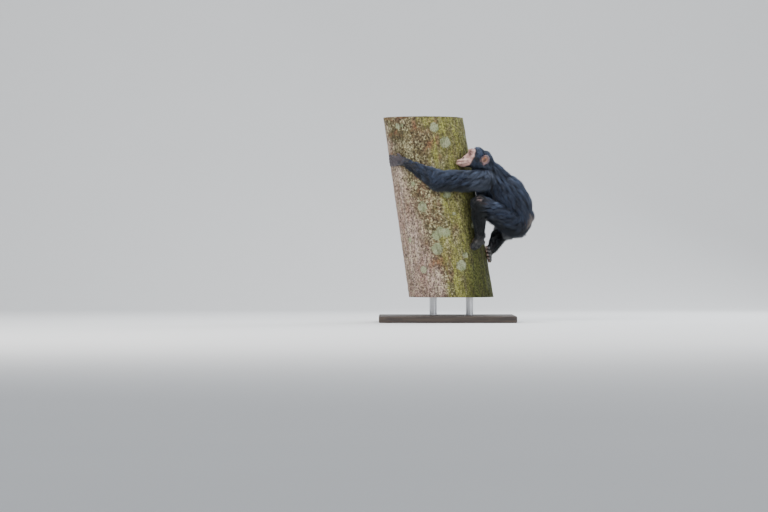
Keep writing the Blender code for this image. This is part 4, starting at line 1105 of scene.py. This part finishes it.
local = in_head(places)
off_bark = bark_distance(places)
depth = np.maximum(animal_field(places, 0.0) - animal_field(places, 1.0), 0.0)
backs = np.zeros(count)
for side, (shoulder, elbow, wrist, hip, knee, ankle) in LIMB_JOINTS.items():
    past = (places - wrist) @ (HAND_PATCH[side](0.046, 0.0, 0.0135) - wrist) / 0.046
    near = np.linalg.norm(places - wrist, axis=1) < 0.070
    backs = np.maximum(backs, rising(past, 0.040, 0.026) * rising(off_bark, 0.011, 0.016) * near)
    past = (places - ankle) @ (FOOT_PATCH[side](0.062, 0.0, 0.0125) - ankle) / 0.062
    near = np.linalg.norm(places - ankle, axis=1) < 0.080
    backs = np.maximum(backs, rising(past, 0.046, 0.030) * rising(off_bark, 0.014, 0.020) * near)
depth = np.maximum(depth, BACK_COAT * backs)
probe = 2.0 * depth + 0.004
openness = np.clip(animal_field(places + normals * probe[:, None], 0.0) / probe, 0.0, 1.0)

hairline = 0.0375 + 0.24 * np.maximum(-local[:, 2] - 0.010, 0.0)
chin = rising(local[:, 2], -0.050, -0.060) * 0.014
bare_face = rising(local[:, 0] - hairline - chin, -0.0030, 0.0015) * rising(local[:, 2], 0.033, 0.027)
bare_face *= head_and_neck(places, 0.0) < 0.004
bare_ear = rising(ear_field(places), 0.0030, 0.0008)
bare_hand = np.zeros(count)
bare_foot = np.zeros(count)
for side, (shoulder, elbow, wrist, hip, knee, ankle) in LIMB_JOINTS.items():
    past = (places - wrist) @ (wrist - elbow) / np.linalg.norm(wrist - elbow)
    near = np.linalg.norm(places - wrist, axis=1) < 0.115
    bare_hand = np.maximum(bare_hand, rising(past, -0.012, 0.004) * near)
    past = (places - ankle) @ (ankle - knee) / np.linalg.norm(ankle - knee)
    near = np.linalg.norm(places - FOOT_PATCH[side](0.03, 0.0, 0.01), axis=1) < 0.090
    bare_foot = np.maximum(bare_foot, rising(past, -0.010, 0.006) * near)
inner = rising(off_bark, 0.0130, 0.0060)

UNDER_COAT = (0.022, 0.021, 0.024)
FACE_PINK = (0.450, 0.278, 0.247)
MUZZLE_PALE = (0.520, 0.345, 0.300)
EYE_RING = (0.150, 0.082, 0.078)
LIP_DARK = (0.150, 0.075, 0.070)
EAR_MAUVE = (0.110, 0.070, 0.078)
EAR_HOLLOW = (0.310, 0.150, 0.085)
EAR_CANAL = (0.070, 0.035, 0.024)
NOSTRIL_DARK = (0.045, 0.024, 0.022)
MOUTH_BROWN = (0.100, 0.050, 0.046)
HAND_DARK = (0.046, 0.038, 0.045)
FOOT_SKIN_AND_SHADE = (0.012, 0.011, 0.010)
SOLE_BEIGE = (0.330, 0.240, 0.190)
KNEE_GREY = (0.330, 0.245, 0.235)
SEAT_BROWN = (0.330, 0.150, 0.070)
MOTTLE_DARK = (0.62, 0.54, 0.52)
MOTTLE_PALE = (1.22, 1.16, 1.12)

tones = np.tile(vector(*UNDER_COAT), (count, 1))
tones = toned(tones, bare_face, FACE_PINK)
muzzle = rising(local[:, 0], 0.055, 0.075) * rising(local[:, 2], -0.010, -0.025)
tones = toned(tones, bare_face * muzzle, MUZZLE_PALE)
eye_ring = rising(np.linalg.norm(local - EYE_CENTRE - vector(0.008, 0.0, 0.0), axis=1), 0.0175, 0.0095)
tones = toned(tones, 0.85 * bare_face * eye_ring, EYE_RING)
inner_corner = EYE_CENTRE + vector(0.0115, -0.0100, 0.0010)
corner = rising(np.linalg.norm(local - inner_corner, axis=1), 0.0105, 0.0050)
tones = toned(tones, 0.80 * bare_face * corner, EYE_RING)
brow_shade = rising(local[:, 2], 0.012, 0.024)
tones = toned(tones, 0.40 * bare_face * brow_shade, EYE_RING)
gap = np.full(count, 1.0)
line = mouth_line(12)
for start, end in zip(line, line[1:]):
    gap = np.minimum(gap, limb(local, start, end, 0.0, 0.0))
tones = toned(tones, 0.85 * bare_face * rising(gap, 0.0066, 0.0032), LIP_DARK)
# The nostrils are painted near black: painted shade in the holes.
nose_hole = rising(np.linalg.norm(local - NOSTRIL, axis=1), 0.0082, 0.0042)
tones = toned(tones, 0.92 * nose_hole, NOSTRIL_DARK)
mouth_corner = rising(np.linalg.norm(local - line[0], axis=1), 0.0090, 0.0010)
tones = toned(tones, 0.55 * bare_face * mouth_corner, MOUTH_BROWN)
in_ear = (local - EAR_ROOT) @ ear_axes().T
cup_middle = vector(0.5 * EAR_WIDTH - 0.007, 0.003)
hollow = rising(np.linalg.norm(in_ear[:, :2] - cup_middle, axis=1), 0.0165, 0.0090)
tones = toned(tones, bare_ear, EAR_MAUVE)
tones = toned(tones, 0.9 * bare_ear * hollow * (in_ear[:, 2] > 0.0), EAR_HOLLOW)
# The ear canals are painted dark: painted shade in the openings.
canal = rising(np.linalg.norm(in_ear[:, :2] - vector(0.0085, -0.002), axis=1), 0.0100, 0.0045)
tones = toned(tones, 0.8 * bare_ear * canal * (in_ear[:, 2] > -0.004), EAR_CANAL)
tones = toned(tones, bare_hand, HAND_DARK)
# The bare feet: dark skin, painted darker than the hands with painted shade.
tones = toned(tones, bare_foot, FOOT_SKIN_AND_SHADE)
tones = toned(tones, np.maximum(bare_hand, bare_foot) * inner, SOLE_BEIGE)
knee_skin = spot(vector(0.150, -0.185, 0.541), 0.030)
knee_skin = np.maximum(knee_skin, 0.75 * spot(vector(0.178, -0.172, 0.524), 0.030))
knee_skin = np.maximum(knee_skin, 0.6 * spot(LIMB_JOINTS["right"][4] + vector(0.0, 0.01, 0.02), 0.03))
elbow_skin = spot(vector(0.0, -0.205, 0.655), 0.020)
tones = toned(tones, 0.8 * np.maximum(knee_skin, elbow_skin), KNEE_GREY)
seat = spot(vector(0.343, -0.088, 0.434), 0.027)
tones = toned(tones, seat, SEAT_BROWN)

# The coat's base colour: black hair with a painted bluish sheen of sky light.
COAT_BLACK_BLUE_SHEEN = (0.0290, 0.0410, 0.0740)
COAT_SHEEN = (0.0700, 0.0960, 0.1650)
COAT_SHADE = (0.0100, 0.0150, 0.0190)
COAT_PALE = (0.3000, 0.2500, 0.2200)
COAT_BROWN = (0.0420, 0.0340, 0.0300)
SHIN_SHADE = (0.0060, 0.0090, 0.0085)
SHOULDER_SHEEN_TONE = (0.1500, 0.1850, 0.2650)
hair_tones = np.tile(vector(*COAT_BLACK_BLUE_SHEEN), (count, 1))
# Painted light and shade: hair facing up is painted lighter and bluer, hair facing down darker.
hair_tones = toned(hair_tones, 0.85 * rising(normals[:, 2], -0.15, 0.85), COAT_SHEEN)
hair_tones = toned(hair_tones, 0.75 * rising(normals[:, 2], -0.15, -0.85), COAT_SHADE)
# Painted shade: the hair of the shanks is painted darker.
shin_shade = np.zeros(count)
for shoulder, elbow, wrist, hip, knee, ankle in LIMB_JOINTS.values():
    shin_shade = np.maximum(shin_shade, rising(limb(places, knee, ankle, 0.03, 0.03), 0.030, 0.004))
hair_tones = toned(hair_tones, 0.90 * shin_shade, SHIN_SHADE)
# A painted highlight: a lighter, bluer sheen on the near shoulder.
shoulder_sheen = spot(LIMB_JOINTS["left"][0] + vector(0.020, -0.030, 0.020), 0.085)
hair_tones = toned(hair_tones, 0.45 * shoulder_sheen, SHOULDER_SHEEN_TONE)
tail_tuft = spot(vector(0.362, -0.078, 0.462), 0.036)
hair_tones = toned(hair_tones, 0.85 * tail_tuft, COAT_PALE)
hair_tones = toned(hair_tones, 0.55 * seat, COAT_BROWN)
hair_tones = toned(hair_tones, 0.35 * knee_skin, COAT_BROWN)
chin_hair = rising(local[:, 0], 0.055, 0.075) * (head_and_neck(places, 0.0) < 0.004)
hair_tones = toned(hair_tones, chin_hair, COAT_PALE)

# The lie of the hair over the skin, how deep and long it is, and how thickly it grows. It runs
# along each tract of the body and sags a little; each tract is its start, its end and a radius.

SAG = 0.35
HAIR_LENGTH = (0.008, 0.042)        # the shortest and the longest
TRACTS = [(CHEST, PELVIS, 0.075), (SKULL_BASE, CHEST, 0.045)]
for shoulder, elbow, wrist, hip, knee, ankle in LIMB_JOINTS.values():
    TRACTS += [(shoulder, elbow, 0.035), (wrist, elbow, 0.025), (hip, knee, 0.040), (knee, ankle, 0.022)]
TRACTS.append((from_head(vector(0.040, 0.0, 0.0)), from_head(vector(-0.045, 0.0, -0.012)), 0.036))
for side in (-1.0, 1.0):
    brow, jaw = vector(0.040, 0.028 * side, 0.000), vector(0.010, 0.036 * side, -0.046)
    TRACTS.append((from_head(brow), from_head(jaw), 0.014))
lie = np.zeros((count, 3))
for start, end, radius in TRACTS:
    away = limb(places, start, end, radius, radius * 0.99)
    weight = np.exp(-np.clip(away, -0.02, 0.4) / 0.012)
    lie += weight[:, None] * (end - start) / np.linalg.norm(end - start)
lie /= np.maximum(np.linalg.norm(lie, axis=1, keepdims=True), 1e-9)
lie += vector(0.0, 0.0, -SAG)
lie -= (lie * normals).sum(axis=1, keepdims=True) * normals
lie /= np.maximum(np.linalg.norm(lie, axis=1, keepdims=True), 1e-9)

reach = np.clip(2.6 * depth, *HAIR_LENGTH)
depth = depth * np.clip(0.25 + 0.75 * openness / 0.8, 0.0, 1.0)
depth = np.minimum(depth, np.maximum(off_bark - 0.0025, 0.0))
growth = rising(depth, 0.0012, 0.0030) * (1.0 - bare_face) * (1.0 - bare_ear)
growth *= rising(off_bark, 0.004, 0.007)
growth *= 1.0 - 0.72 * np.maximum(knee_skin, 0.8 * elbow_skin)
growth *= 1.0 - 0.90 * seat
wide = np.stack((
    np.minimum(torso_field(places, 0.0), neck_field(places, 0.0) + 0.004), head_field(places, 0.0),
    arm_field(places, "left", 0.0), arm_field(places, "right", 0.0),
    leg_field(places, "left", 0.0), leg_field(places, "right", 0.0),
))
region = wide.argmin(axis=0)
fringe = rising(-normals[:, 2], 0.20, 0.85) * rising(depth, 0.004, 0.010) * rising(off_bark, 0.012, 0.030)

for name, kind, values in (
    ("tone", "FLOAT_COLOR", np.column_stack((tones, np.ones(count)))),
    ("coat_tone", "FLOAT_COLOR", np.column_stack((hair_tones, np.ones(count)))),
    ("lie", "FLOAT_VECTOR", lie), ("depth", "FLOAT", depth), ("reach", "FLOAT", reach),
    ("fringe", "FLOAT", fringe),
):
    field = mesh.attributes.new(name, kind, "POINT")
    word = {"FLOAT_COLOR": "color", "FLOAT_VECTOR": "vector", "FLOAT": "value"}[kind]
    field.data.foreach_set(word, np.ravel(values))

material, tree, shader = finish_named("skin", 0.50, Subsurface_Weight=0.06, Subsurface_Scale=0.01)
shader.inputs["Subsurface Radius"].default_value = (1.0, 0.35, 0.2)
place = object_place(tree)
own = add(tree, "ShaderNodeAttribute", attribute_name="tone").outputs["Color"]
mottle = grain(tree, place, 190.0, 4.0, 0.6)
blotch = grain(tree, place, 60.0, 3.0, 0.6)
dark = mixed(tree, 1.0, own, MOTTLE_DARK, "MULTIPLY")
tone = mixed(tree, step_up(tree, mottle, 0.66, 0.36), own, dark)
light = mixed(tree, 1.0, own, MOTTLE_PALE, "MULTIPLY")
tone = mixed(tree, step_up(tree, blotch, 0.48, 0.68), tone, light)
coloured(tree, shader, tone)
cells = {"Vector": place, "Scale": 620.0}
cell = add(tree, "ShaderNodeTexVoronoi", cells, feature="DISTANCE_TO_EDGE").outputs[0]
crease = step_up(tree, cell, 0.0, 0.12)
wrinkle = grain(tree, place, 330.0, 3.0, 0.6, 0.8)
height = times_plus(tree, wrinkle, 0.8, times(tree, crease, 0.5))
bumped(tree, shader, height, strength=0.5, distance=0.0007)
mesh.materials.append(material)
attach(skin, "root")
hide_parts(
    "head", "neck", "torso", "left_ear", "right_ear",
    *[side + "_" + part for side in ("left", "right")
      for part in ("upper_arm", "forearm", "hand", "thigh", "shank", "foot")]
)

# The eyes: glossy balls with a dark brown white, as chimpanzees have, a lighter brown ring
# of iris and a black pupil under a clear bulge, set behind the lids.

EYE_RADIUS = 0.0100
GAZE = vector(0.985, 0.06, -0.02)
EYE_BULGE = 0.055                   # of the ball's radius, over the iris
BULGE_START = 0.86
IRIS_DARK = (0.055, 0.024, 0.010)
IRIS_BROWN = (0.120, 0.052, 0.022)
BALL_BROWN = (0.030, 0.018, 0.012)
PUPIL_BLACK = (0.003, 0.003, 0.003)
IRIS_EDGE = (0.0046, 0.0054)        # where the iris turns into the ball, from the pupil's middle
PUPIL_EDGE = (0.0024, 0.0019)

for side, name in ((1.0, "left"), (-1.0, "right")):
    centre = from_head(EYE_CENTRE * vector(1.0, side, 1.0))
    gaze = (GAZE * vector(1.0, side, 1.0)) @ HEAD_AXES
    gaze = gaze / np.linalg.norm(gaze)
    work = bmesh.new()
    bmesh.ops.create_uvsphere(work, u_segments=48, v_segments=32, radius=EYE_RADIUS)
    turn = Vector(gaze).to_track_quat("Z", "Y").to_matrix()
    for vertex in work.verts:
        height = vertex.co.z / EYE_RADIUS
        vertex.co *= 1.0 + EYE_BULGE * max(0.0, (height - BULGE_START) / (1.0 - BULGE_START)) ** 0.8
        vertex.co = turn @ vertex.co + Vector(centre)
    eye_mesh = bpy.data.meshes.new(name + "_eyeball")
    work.to_mesh(eye_mesh)
    work.free()
    material, tree, shader = finish_named(name + "_eyeball", 0.12, Coat_Weight=1.0, Coat_Roughness=0.03)
    place = object_place(tree)
    pupil = tuple(centre + gaze * EYE_RADIUS)
    away = add(tree, "ShaderNodeVectorMath", {0: place, 1: pupil}, operation="DISTANCE").outputs["Value"]
    threads = grain(tree, place, 900.0, 3.0)
    tone = mixed(tree, threads, IRIS_DARK, IRIS_BROWN)
    tone = mixed(tree, step_up(tree, away, *IRIS_EDGE), tone, BALL_BROWN)
    tone = mixed(tree, step_up(tree, away, *PUPIL_EDGE), tone, PUPIL_BLACK)
    coloured(tree, shader, tone)
    eye_mesh.materials.append(material)
    eye_mesh.shade_smooth()
    eyeball = bpy.data.objects.new(name + "_eyeball", eye_mesh)
    bpy.context.scene.collection.objects.link(eyeball)
    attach(eyeball, "root")
    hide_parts(name + "_eye")

# The nails: thin, slightly domed plates of dark horn, one on the last joint of every finger
# and toe, bedded in the skin on the side away from the bark.

NAIL_THICKNESS = 0.0007
FINGER_END = 0.0053                 # the digit's radius under the nail
TOE_END = 0.0060
NAIL_LENGTH = 0.95                  # of the tip's radius
NAIL_WIDTH = 0.80
NAIL_LIFT = 0.0003                  # of the plate's outer face over the skin
NAIL_GRID = 7
NAIL_DARK = (0.050, 0.042, 0.042)
NAIL_BROWN = (0.105, 0.085, 0.080)

vertices, faces = [], []
for side in ("left", "right"):
    digits = [(knots, FINGER_END) for knots in finger_knots(side)]
    digits += [(knots, TOE_END) for knots in toe_knots(side)]
    for knots, tip_radius in digits:
        along = (knots[-1] - knots[-2]) / np.linalg.norm(knots[-1] - knots[-2])
        spot_on = knots[-1] * 0.75 + knots[-2] * 0.25
        normal = steepest(bark_distance, spot_on[None])[0]
        normal = normal - along * (normal @ along)
        normal /= np.linalg.norm(normal)
        across = np.cross(along, normal)
        first = len(vertices)
        for sink in (0.0, NAIL_THICKNESS):
            for u in np.linspace(-1.0, 1.0, NAIL_GRID):
                for v in np.linspace(-1.0, 1.0, NAIL_GRID):
                    wide_u, wide_v = u * math.sqrt(1.0 - 0.42 * v * v), v * math.sqrt(1.0 - 0.42 * u * u)
                    ride = tip_radius * math.sqrt(max(1.0 - 0.62 * wide_v * wide_v, 0.0)) + NAIL_LIFT - sink
                    corner = spot_on + along * wide_u * tip_radius * NAIL_LENGTH
                    corner = corner + across * wide_v * tip_radius * NAIL_WIDTH
                    vertices.append(corner + normal * ride)
        under = first + NAIL_GRID * NAIL_GRID
        for row in range(NAIL_GRID - 1):
            for column in range(NAIL_GRID - 1):
                a, b = row * NAIL_GRID + column, (row + 1) * NAIL_GRID + column
                faces.append((first + a, first + b, first + b + 1, first + a + 1))
                faces.append((under + a, under + a + 1, under + b + 1, under + b))
        rim = list(range(NAIL_GRID)) + [row * NAIL_GRID + NAIL_GRID - 1 for row in range(1, NAIL_GRID)]
        rim += [NAIL_GRID * NAIL_GRID - 1 - column for column in range(1, NAIL_GRID)]
        rim += [row * NAIL_GRID for row in range(NAIL_GRID - 2, 0, -1)]
        for a, b in zip(rim, rim[1:] + rim[:1]):
            faces.append((first + a, first + b, under + b, under + a))
material, tree, shader = finish_named("nail", 0.28)
place = object_place(tree)
tone = mixed(tree, grain(tree, place, 300.0), NAIL_DARK, NAIL_BROWN)
coloured(tree, shader, tone)
nails = mesh_object("nails", vertices, faces, [material])
work = bmesh.new()
work.from_mesh(nails.data)
bmesh.ops.recalc_face_normals(work, faces=work.faces)
work.to_mesh(nails.data)
work.free()
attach(nails, "root")

# The coat: coarse black hair that lies down the back and legs and towards the elbows. Each
# tuft is a few tapered strands with their roots in the skin, leaning over the next tufts.

STRANDS = 6
STRAND_WIDTH = 0.027                # of the tuft's own length
TUFT_SPREAD = 0.10
STRAND_LENGTHS = (0.78, 1.12)
STRAND_SWAY = 0.05
STRAND_LIFTS = (0.55, 1.0)
TUFT_SIZES = (0.78, 1.15)
TUFT_SHADES = (0.65, 1.35)
TUFT_HEIGHTS = (0.80, 1.10)
PATCH_SIZE = 0.003                  # of a tuft on the unwrap of the skin
LOCKS_PER_METRE = 52.0
GATHER = 24.0                       # how strongly the tips of a lock draw together
DROOP = 0.015                       # how far the fringe hangs below its roots
WANDER = 0.55                       # how far the hair strays from its lie
SOWING = 11
SPARE_ATTRIBUTES = (
    "lie", "depth", "reach", "fringe", "size", "tall", "rise", "thick", "patch", "tone", "sow",
    "skin_unwrap",
)

draw = np.random.default_rng(5)
vertices, faces, along, rise, thick, patch = [], [], [], [], [], []
for number in range(STRANDS):
    root = draw.uniform(-TUFT_SPREAD, TUFT_SPREAD, 2)
    length = draw.uniform(*STRAND_LENGTHS)
    sway = draw.uniform(-STRAND_SWAY, STRAND_SWAY)
    lift = draw.uniform(*STRAND_LIFTS)
    first = len(vertices)
    for share, width in ((0.0, 0.8), (0.5, 1.0)):
        centre = vector(root[0] + share * length, root[1] * (1.0 - 0.7 * share) + sway * share, 0.0)
        half = 0.5 * STRAND_WIDTH * width
        for side, over in ((-1.0, -0.5), (1.0, -0.5), (0.0, 0.8)):
            vertices.append(centre + vector(0.0, side * half, 0.0))
            thick.append(over * half)
            along.append(share)
            rise.append(-0.10 if share == 0.0 else 0.62 * lift)
            patch.append((0.2 + 0.6 * share, (number + 0.5 + 0.3 * side) / STRANDS, 0.0))
    vertices.append(vector(root[0] + length, root[1] * 0.3 + sway * 1.6, 0.0))
    thick.append(0.0)
    along.append(1.0)
    rise.append(lift)
    patch.append((0.8, (number + 0.5) / STRANDS, 0.0))
    faces.append((first + 2, first + 1, first))
    for corner in range(3):
        after = (corner + 1) % 3
        faces.append((first + corner, first + after, first + 3 + after, first + 3 + corner))
        faces.append((first + 3 + corner, first + 3 + after, first + 6))
tuft = mesh_object("tuft", vertices, faces, [])
for name, kind, word, values in (
    ("along", "FLOAT", "value", along), ("rise", "FLOAT", "value", rise),
    ("thick", "FLOAT", "value", thick), ("patch", "FLOAT_VECTOR", "vector", patch),
):
    tuft.data.attributes.new(name, kind, "POINT").data.foreach_set(word, np.ravel(values))


def attribute(tree, name, kind="FLOAT"):
    return add(tree, "GeometryNodeInputNamedAttribute", {"Name": name}, data_type=kind).outputs[0]


def stored(tree, geometry, name, value, kind="FLOAT", domain="POINT"):
    inputs = {"Geometry": geometry, "Name": name, "Value": value}
    return add(tree, "GeometryNodeStoreNamedAttribute", inputs, data_type=kind, domain=domain).outputs[0]


def scaled(tree, arrow, scale):
    return add(tree, "ShaderNodeVectorMath", {0: arrow, "Scale": scale}, operation="SCALE").outputs[0]


def vector_sum(tree, first, second):
    return add(tree, "ShaderNodeVectorMath", {0: first, 1: second}, operation="ADD").outputs[0]


def drawn_value(tree, low, high, seed):
    made = add(tree, "FunctionNodeRandomValue", {2: low, 3: high, "Seed": seed}, data_type="FLOAT")
    return made.outputs[1]


tree, given, out = group_with("coat", {
    "Tuft": "NodeSocketObject", "Density": "NodeSocketFloat", "Wander": "NodeSocketFloat",
    "Patch": "NodeSocketFloat", "Seed": "NodeSocketInt", "Material": "NodeSocketMaterial",
    "Locks": "NodeSocketFloat", "Gather": "NodeSocketFloat", "Droop": "NodeSocketFloat",
})
ground = given["Geometry"]
density = times(tree, given["Density"], attribute(tree, "sow"))
sowing = {"Mesh": ground, "Density": density, "Seed": given["Seed"]}
sown = add(tree, "GeometryNodeDistributePointsOnFaces", sowing)
size = times(tree, attribute(tree, "reach"), drawn_value(tree, *TUFT_SIZES, 1))
points = stored(tree, sown.outputs["Points"], "size", size)
where = add(tree, "GeometryNodeInputPosition").outputs[0]
lock = add(tree, "ShaderNodeTexVoronoi", {"Vector": where, "Scale": given["Locks"]}).outputs
odds = add(tree, "ShaderNodeSeparateXYZ", {0: lock["Color"]}).outputs
# Strands near the edge of a lock are lower and painted darker: painted shade in the furrows between locks.
# Each lock and tuft also takes a random tone.
crest = times_plus(tree, lock["Distance"], -0.75, 1.20)
shade = times(tree, times_plus(tree, odds[0], 0.95, 0.55), crest)
points = stored(tree, points, "shade", times(tree, shade, drawn_value(tree, *TUFT_SHADES, 2)))
tall = times(tree, times_plus(tree, odds[1], 0.40, 0.76), crest)
tall = maths(tree, "MINIMUM", times(tree, tall, drawn_value(tree, *TUFT_HEIGHTS, 3)), 1.08)
points = stored(tree, points, "tall", tall)
gather = add(tree, "ShaderNodeVectorMath", {0: lock["Position"], 1: where}, operation="SUBTRACT").outputs[0]
eddy = add(tree, "ShaderNodeTexNoise", {"Vector": where, "Scale": 55.0, "Detail": 2.0}).outputs["Color"]
eddy = vector_sum(tree, eddy, (-0.5, -0.5, -0.5))
way = vector_sum(tree, attribute(tree, "lie", "FLOAT_VECTOR"), scaled(tree, eddy, given["Wander"]))
way = vector_sum(tree, way, scaled(tree, gather, given["Gather"]))
upright = {"Vector": sown.outputs["Normal"]}
upright = add(tree, "FunctionNodeAlignRotationToVector", upright, axis="Z").outputs[0]
turned = {"Rotation": upright, "Vector": way}
turned = add(tree, "FunctionNodeAlignRotationToVector", turned, axis="X", pivot_axis="Z").outputs[0]
one = add(tree, "GeometryNodeObjectInfo", {"Object": given["Tuft"]}).outputs["Geometry"]
size = attribute(tree, "size")
size = add(tree, "ShaderNodeCombineXYZ", {0: size, 1: size, 2: size}).outputs[0]
planted = {"Points": points, "Instance": one, "Rotation": turned, "Scale": size}
set_out = add(tree, "GeometryNodeInstanceOnPoints", planted).outputs[0]
strands = add(tree, "GeometryNodeRealizeInstances", {0: set_out}).outputs[0]
where = add(tree, "GeometryNodeInputPosition").outputs[0]
foot = add(tree, "GeometryNodeProximity", {0: ground}, target_element="FACES").outputs["Position"]
facing = add(tree, "GeometryNodeInputNormal").outputs[0]
facing = {"Mesh": ground, "Value": facing}
outward = add(tree, "GeometryNodeSampleNearestSurface", facing, data_type="FLOAT_VECTOR")
height = times(tree, attribute(tree, "rise"), attribute(tree, "tall"))
height = times(tree, height, attribute(tree, "depth"))
height = times_plus(tree, attribute(tree, "thick"), attribute(tree, "size"), height)
target = vector_sum(tree, foot, scaled(tree, outward.outputs[0], height))
droop = times(tree, attribute(tree, "along"), attribute(tree, "along"))
droop = times(tree, droop, times(tree, attribute(tree, "fringe"), given["Droop"]))
droop = times(tree, droop, -1.0)
hang = add(tree, "ShaderNodeCombineXYZ", {0: 0.0, 1: 0.0, 2: droop}).outputs[0]
target = vector_sum(tree, target, hang)
combed = add(tree, "GeometryNodeSetPosition", {"Geometry": strands, "Position": target}).outputs[0]
root_place = attribute(tree, "skin_unwrap", "FLOAT_VECTOR")
patch_place = scaled(tree, attribute(tree, "patch", "FLOAT_VECTOR"), given["Patch"])
combed = stored(tree, combed, "OFBake", vector_sum(tree, root_place, patch_place), "FLOAT2", "CORNER")
paint = {"Geometry": combed, "Material": given["Material"]}
tree.links.new(add(tree, "GeometryNodeSetMaterial", paint).outputs[0], out.inputs[0])

material, coat_tree, shader = finish_named("coat_hair", 0.40, Specular_IOR_Level=0.55)
own = add(coat_tree, "ShaderNodeAttribute", attribute_name="coat_tone").outputs["Color"]
shade = add(coat_tree, "ShaderNodeAttribute", attribute_name="shade").outputs["Fac"]
out_along = add(coat_tree, "ShaderNodeAttribute", attribute_name="along").outputs["Fac"]
# Each strand is painted darker towards its root: painted shade deep in the coat.
level = times(coat_tree, shade, times_plus(coat_tree, out_along, 0.75, 0.45))
grey = add(coat_tree, "ShaderNodeCombineColor", {0: level, 1: level, 2: level}).outputs[0]
coloured(coat_tree, shader, mixed(coat_tree, 1.0, own, grey, "MULTIPLY"))

COAT_PIECES = (
    ("coat_torso_left", (0,), "left", 3100), ("coat_torso_right", (0,), "right", 3100),
    ("coat_head", (1,), None, 3000), ("coat_left_arm", (2,), None, 3000),
    ("coat_right_arm", (3,), None, 3000), ("coat_left_leg", (4,), None, 3000),
    ("coat_right_leg", (5,), None, 3000),
)
ACROSS_BACK = vector(0.15, 0.98, 0.0)
right_half = (places - RIBS) @ ACROSS_BACK > 0.0
mesh.attributes.new("sow", "FLOAT", "POINT")
for name, regions, half, tufts in COAT_PIECES:
    chosen = np.isin(region, regions).astype(float)
    if half:
        chosen *= right_half if half == "right" else ~right_half
    weight = growth * chosen
    mesh.attributes["sow"].data.foreach_set("value", weight)
    area = 0.0
    for face in mesh.polygons:
        area += face.area * weight[face.vertices[0]]
    values = {
        "Tuft": tuft, "Density": tufts / max(area, 1e-6), "Wander": WANDER, "Patch": PATCH_SIZE,
        "Seed": SOWING, "Material": material, "Locks": LOCKS_PER_METRE, "Gather": GATHER, "Droop": DROOP,
    }
    piece = grown(skin, tree, name, values, [material])
    for spare in SPARE_ATTRIBUTES:
        if spare in piece.data.attributes:
            piece.data.attributes.remove(piece.data.attributes[spare])
    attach(piece, "root")
bpy.data.objects.remove(tuft)
